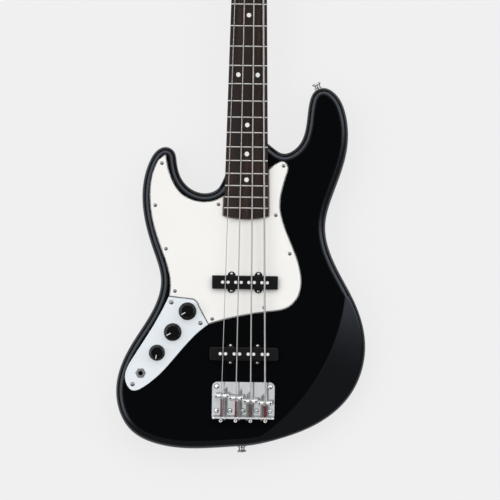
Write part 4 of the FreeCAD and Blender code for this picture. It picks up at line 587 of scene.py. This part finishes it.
def make_plate(node, name, material, width):
    """A stamped metal plate with its upper edge rounded off and its faces shaded flat."""
    piece = copy_of(node, name)
    bevel_outline(piece, width, 3)
    settle(piece, node, material)
    flat = piece.modifiers.new("flat_faces", "WEIGHTED_NORMAL")
    flat.keep_sharp = True
    bpy.ops.object.modifier_apply(modifier=flat.name)


def make_saddle(string):
    """A turned barrel, and two blackened height screws as a piece of their own."""
    node = "saddle_" + string
    copy_of(node, node + "_barrel")
    bpy.ops.object.mode_set(mode="EDIT")
    bpy.ops.mesh.select_all(action="SELECT")
    bpy.ops.mesh.separate(type="LOOSE")
    bpy.ops.object.mode_set(mode="OBJECT")
    *screws, barrel = sorted(bpy.context.selected_objects, key=lambda part: part.dimensions.x)
    barrel.name = node + "_barrel"
    join_all(screws)
    screws[0].name = node + "_height_screws"
    settle(barrel, node, SADDLE_CHROME)
    settle(screws[0], node, BLACK_OXIDE)


SPRING_WIRE, SPRING_ACROSS, SPRING_PITCH = 0.55 * MM, 4.25 * MM, 1.6 * MM
# From the bridge plate's tail edge to the spring, from the saddle's middle to its side, and the play between
SPRING_SEAT, SADDLE_RADIUS, SPRING_PLAY = 2.5 * MM, 3.5 * MM, 0.3 * MM
WIRE_SIDES, STEPS_A_TURN = 8, 20


def make_spring(string):
    """An intonation spring: a wire section swept round its screw, from the bridge plate's tail edge to just
    short of the saddle.
    """
    low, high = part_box("saddle_" + string)
    screw_low, screw_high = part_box("intonation_screw_" + string)
    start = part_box("bridge_plate")[0].y + SPRING_SEAT
    end = (low.y + high.y) / 2 - SADDLE_RADIUS - SPRING_PLAY
    middle = (screw_low + screw_high) / 2
    bpy.ops.mesh.primitive_circle_add(
        vertices=WIRE_SIDES, radius=SPRING_WIRE / 2, rotation=(math.pi / 2, 0, 0),
        location=((SPRING_ACROSS - SPRING_WIRE) / 2, 0, 0))
    spring = bpy.context.object
    spring.name = "intonation_spring_" + string
    bpy.ops.object.transform_apply()
    turns = round((end - start - SPRING_WIRE) / SPRING_PITCH)
    sweep = spring.modifiers.new("winding", "SCREW")
    sweep.iterations = turns
    sweep.screw_offset = (end - start - SPRING_WIRE) / turns
    sweep.steps = sweep.render_steps = STEPS_A_TURN
    sweep.use_normal_calculate = True
    only(spring)
    bpy.ops.object.modifier_apply(modifier=sweep.name)
    bpy.ops.object.mode_set(mode="EDIT")
    bpy.ops.mesh.select_all(action="SELECT")
    bpy.ops.mesh.remove_doubles(threshold=0.001 * MM)
    bpy.ops.mesh.fill_holes(sides=WIRE_SIDES)
    bpy.ops.mesh.select_all(action="SELECT")
    bpy.ops.mesh.normals_make_consistent(inside=False)
    bpy.ops.object.mode_set(mode="OBJECT")
    spring.data.transform(Matrix.Translation((middle.x, start + SPRING_WIRE / 2, middle.z))
                          @ Matrix.Rotation(-math.pi / 2, 4, "X"))
    spring.data.materials.append(SPRING_STEEL)
    bpy.ops.object.shade_smooth()
    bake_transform(spring)
    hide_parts("intonation_springs")


# Where the thread starts from the bridge plate's tail edge, where it ends behind the saddle, and its wall
SILK_START, SILK_END, SILK_WALL = 0.6 * MM, 4.6 * MM, 0.8 * MM
SILKS = {"e": RED_SILK, "a": BROWN_SILK, "d": RED_SILK, "g": RED_SILK}


def make_silk(string):
    """The coloured thread wound over a string's tail, from its ball end to just behind the saddle."""
    low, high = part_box("saddle_" + string)
    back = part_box("bridge_plate")[0].y + SILK_START
    front = (low.y + high.y) / 2 - SILK_END
    silk = copy_of("string_" + string, "silk_wrap_" + string)
    bpy.ops.object.mode_set(mode="EDIT")
    for level, way in ((front, 1), (back, -1)):
        bpy.ops.mesh.select_all(action="SELECT")
        bpy.ops.mesh.bisect(plane_co=(0, level, 0), plane_no=(0, way, 0), clear_outer=True, use_fill=True)
    bpy.ops.mesh.select_all(action="SELECT")
    bpy.ops.transform.shrink_fatten(value=SILK_WALL)
    bpy.ops.object.mode_set(mode="OBJECT")
    silk.data.materials.clear()
    silk.data.materials.append(SILKS[string])
    only(silk)
    bpy.ops.object.shade_smooth_by_angle(angle=math.radians(50))
    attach(silk, "root")


# A pointer's ends and width in shares of the knob's radius, the gap under its paint, and the paint itself
POINTER_FROM, POINTER_TO, POINTER_WIDTH = 0.28, 0.80, 0.075
PAINT_GAP, PAINT = 0.06 * MM, 0.12 * MM
POINTERS = {"neck_volume_knob": (-50, -28), "bridge_volume_knob": (-50, -28), "tone_knob": (-0.19, -0.98)}


def make_pointer(node, way):
    """The white line on a knob's top, pressed on to the knob's own shape."""
    low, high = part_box(node)
    radius = (high.x - low.x) / 2
    near, far, wide = POINTER_FROM * radius, POINTER_TO * radius, POINTER_WIDTH * radius
    bpy.ops.mesh.primitive_grid_add(x_subdivisions=14, y_subdivisions=3, size=1)
    line = bpy.context.object
    line.name = node + "_pointer"
    line.scale = (far - near, wide, 1)
    line.location = ((near + far) / 2, 0, 0)
    bpy.ops.object.transform_apply()
    turn = Matrix.Rotation(math.atan2(way[1], way[0]), 4, "Z")
    over = Matrix.Translation(((low.x + high.x) / 2, (low.y + high.y) / 2, high.z + 5 * MM))
    line.data.transform(over @ turn)
    only(line)
    press = line.modifiers.new("press", "SHRINKWRAP")
    press.target = NODES[node]
    press.wrap_method = "PROJECT"
    press.use_project_z = True
    press.use_negative_direction = True
    press.use_positive_direction = False
    press.offset = PAINT_GAP
    bpy.ops.object.modifier_apply(modifier=press.name)
    thick = line.modifiers.new("paint", "SOLIDIFY")
    thick.thickness = PAINT
    thick.offset = 1.0
    bpy.ops.object.modifier_apply(modifier=thick.name)
    line.data.materials.append(POINTER_WHITE)
    bpy.ops.object.shade_smooth_by_angle(angle=math.radians(40))
    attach(line, BODY_OF[node])


FINISH = {
    "body": BLACK_LACQUER, "neck": MAPLE, "fretboard": ROSEWOOD, "frets": NICKEL_SILVER,
    "position_dots": PEARLOID, "nut": BONE, "truss_rod": STEEL, "pickup_foams": FOAM,
    "string_ball_ends": BALL_NICKEL, "potentiometers": STEEL, "output_jack": JACK_NICKEL,
}
FINISH.update({"string_" + string: WOUND_STEEL for string in STRINGS})
FINISH.update({"intonation_screw_" + string: THREADED_STEEL for string in STRINGS})
FINISH_BY_END = {"_knob": KNOB_BLACK, "_cover": MOULDED_BLACK, "_coil": COPPER, "_poles": POLE_STEEL}


def finish_nodes():
    """Gives each CAD node its material: by its name, by the end of its name, or chrome."""
    for node, cad in NODES.items():
        by_end = [material for end, material in FINISH_BY_END.items() if node.endswith(end)]
        cad.data.materials.clear()
        cad.data.materials.append(FINISH.get(node) or (by_end + [CHROME])[0])


# How much wider than their solids the heads on the control plate and the bridge are, as in the photograph
CONTROL_HEADS, BRIDGE_HEADS = 1.2, 1.15

finish_nodes()
make_pickguard()
make_plate("control_plate", "stamped_control_plate", SATIN_CHROME, 0.4 * MM)
make_plate("bridge_plate", "bent_bridge_plate", BRIDGE_CHROME, 0.45 * MM)
for group in ("neck_pickup", "bridge_pickup", "tuner", "neck"):
    make_screws(group + "_screws", SCREW_CHROME)
make_screws("bridge_screws", SCREW_CHROME, BRIDGE_HEADS)
# The pickguard and control plate screws take a grey darkened with painted shade.
make_screws("pickguard_screws", SCREW_GREY_PAINTED_SHADE)
make_screws("control_plate_screws", SCREW_GREY_PAINTED_SHADE, CONTROL_HEADS)
make_jack_nut()
make_strap_buttons()
for string in STRINGS:
    make_saddle(string)
    make_spring(string)
    make_silk(string)
for knob, way in POINTERS.items():
    make_pointer(knob, way)

# Stage: floor, light and camera

# How much of the floor's own light shows straight and in mirrors. The rest is lit and shaded by the studio.
FLOOR_IN_VIEW, FLOOR_IN_MIRRORS = 0.88, 0.15
FLOOR_SIZE, FLOOR_DROP = 60.0, 0.2 * MM


def make_floor():
    """A plain pale floor, seen from above only, with most of the bass's shadow lifted as in a cut-out."""
    bpy.ops.mesh.primitive_plane_add(size=FLOOR_SIZE, location=(0, 0, -FLOOR_DROP))
    floor = bpy.context.object
    floor.name = "floor"
    material = bpy.data.materials.new("pale_studio_floor")
    material.use_nodes = True
    tree = material.node_tree
    shader = tree.nodes["Principled BSDF"]
    shader.inputs["Base Color"].default_value = hex_colour("#EFEFF0")
    shader.inputs["Roughness"].default_value = 0.9
    shader.inputs["Specular IOR Level"].default_value = 0.0
    glow = add_node(tree, "Emission", {"Color": hex_colour("#F0F0F1"), "Strength": 1.0})
    path = add_node(tree, "LightPath")
    mirrored = add_node(tree, "Math", {
        0: path.outputs["Is Glossy Ray"], 1: path.outputs["Is Transmission Ray"]}, operation="MAXIMUM")
    shown = add_node(tree, "Math", {0: mirrored.outputs[0], 1: FLOOR_IN_MIRRORS}, operation="MULTIPLY")
    seen = add_node(tree, "Math", {
        0: path.outputs["Is Camera Ray"], 1: FLOOR_IN_VIEW}, operation="MULTIPLY")
    share = add_node(tree, "Math", {0: seen.outputs[0], 1: shown.outputs[0]}, operation="MAXIMUM")
    lit = add_node(tree, "MixShader", {
        0: share.outputs[0], 1: shader.outputs["BSDF"], 2: glow.outputs["Emission"]})
    back = add_node(tree, "NewGeometry")
    clear = add_node(tree, "BsdfTransparent")
    sided = add_node(tree, "MixShader", {
        0: back.outputs["Backfacing"], 1: lit.outputs["Shader"], 2: clear.outputs["BSDF"]})
    tree.links.new(sided.outputs["Shader"], tree.nodes["Material Output"].inputs["Surface"])
    floor.data.materials.append(material)


# Light by the sine of its height above the horizon: a broad soft tent between a dark rim and a small dark
# ceiling. Towards the tail the tent is open on an even, dim room.
SKY = ((0.0, 0.03), (0.40, 0.06), (0.52, 1.0), (0.86, 1.0), (0.93, 0.28), (0.97, 0.06), (1.0, 0.02))
OPEN_WAY, OPEN_FROM, OPEN_TO = (0.25, -0.97, 0.0), 0.02, 0.35
TENT_LEVEL, OPEN_LEVEL = 2.46, 0.24
# Each key lamp: where it stands, its level, its spread in degrees, and the bright metal that it gives a sheen
KEYS = {
    "plate_key": ((-0.1, -0.12, 1.0), 0.29, 12.0, ("control_plate",)),
    "bridge_key": ((-0.3, -0.24, 1.0), 1.3, 2.0, ("bridge_plate",)),
    "saddle_key": ((0.0, -0.1, 1.0), 0.6, 130.0, ("saddle_",)),
    "screw_key": ((-0.2, -0.3, 1.0), 0.5, 3.0, ("bridge_screws", "_poles", "string_ball_ends")),
}


def make_light():
    """A studio tent, and lamps near the camera's line that give plates, saddles and screws their sheen."""
    world = bpy.data.worlds.new("studio_tent")
    bpy.context.scene.world = world
    world.use_nodes = True
    tree = world.node_tree
    way = add_node(tree, "TexCoord").outputs["Generated"]
    height = add_node(tree, "SeparateXYZ", {"Vector": way})
    ramp = add_node(tree, "ValToRGB", {"Fac": height.outputs["Z"]})
    stops = ramp.color_ramp.elements
    while len(stops) < len(SKY):
        stops.new(0.5)
    for stop, (at, level) in zip(stops, SKY):
        stop.position = at
        stop.color = (level,) * 3 + (1.0,)
    side = add_node(tree, "VectorMath", {0: way, 1: OPEN_WAY}, operation="DOT_PRODUCT")
    opening = add_node(tree, "MapRange", {
        "Value": side.outputs["Value"], "From Min": OPEN_FROM, "From Max": OPEN_TO,
        "To Min": 0.0, "To Max": 1.0}, interpolation_type="SMOOTHSTEP")
    room = (OPEN_LEVEL / TENT_LEVEL,) * 3 + (1.0,)
    light = add_node(tree, "Mix", {
        0: opening.outputs["Result"], 6: ramp.outputs["Color"], 7: room}, data_type="RGBA")
    shade = tree.nodes["Background"]
    shade.inputs["Strength"].default_value = TENT_LEVEL
    tree.links.new(light.outputs[2], shade.inputs["Color"])
    for name, (stand, level, spread, shown) in KEYS.items():
        lamp = bpy.data.lights.new(name, "SUN")
        lamp.energy = level
        lamp.angle = math.radians(spread)
        key = bpy.data.objects.new(name, lamp)
        bpy.context.scene.collection.objects.link(key)
        key.rotation_euler = Vector(stand).to_track_quat("Z", "Y").to_euler()
        sheen = bpy.data.collections.new(name + "_lit")
        for piece in bpy.context.scene.objects:
            if piece.type == "MESH" and any(part in piece.name for part in shown):
                sheen.objects.link(piece)
        key.light_linking.receiver_collection = sheen


# The camera's distance from the body's face, the width that it sees there, and where and how it is turned
CAMERA_DISTANCE, BODY_FACE, FRAME_WIDTH = 30.0, 40 * MM, 705 * MM
CAMERA_X, CAMERA_Y, CAMERA_TURN = 6.4 * MM, -296.2 * MM, math.radians(0.85)


def make_camera():
    """Straight above the body, far off, with the slight turn that the photograph has."""
    data = bpy.data.cameras.new("camera")
    data.sensor_width = 36.0
    data.lens = data.sensor_width * CAMERA_DISTANCE / FRAME_WIDTH
    data.clip_end = 200.0
    camera = bpy.data.objects.new("camera", data)
    bpy.context.scene.collection.objects.link(camera)
    camera.location = (CAMERA_X, CAMERA_Y, CAMERA_DISTANCE + BODY_FACE)
    camera.rotation_euler = (0.0, 0.0, CAMERA_TURN)
    bpy.context.scene.camera = camera


make_floor()
make_light()
make_camera()
bpy.context.scene.view_settings.view_transform = "Standard"
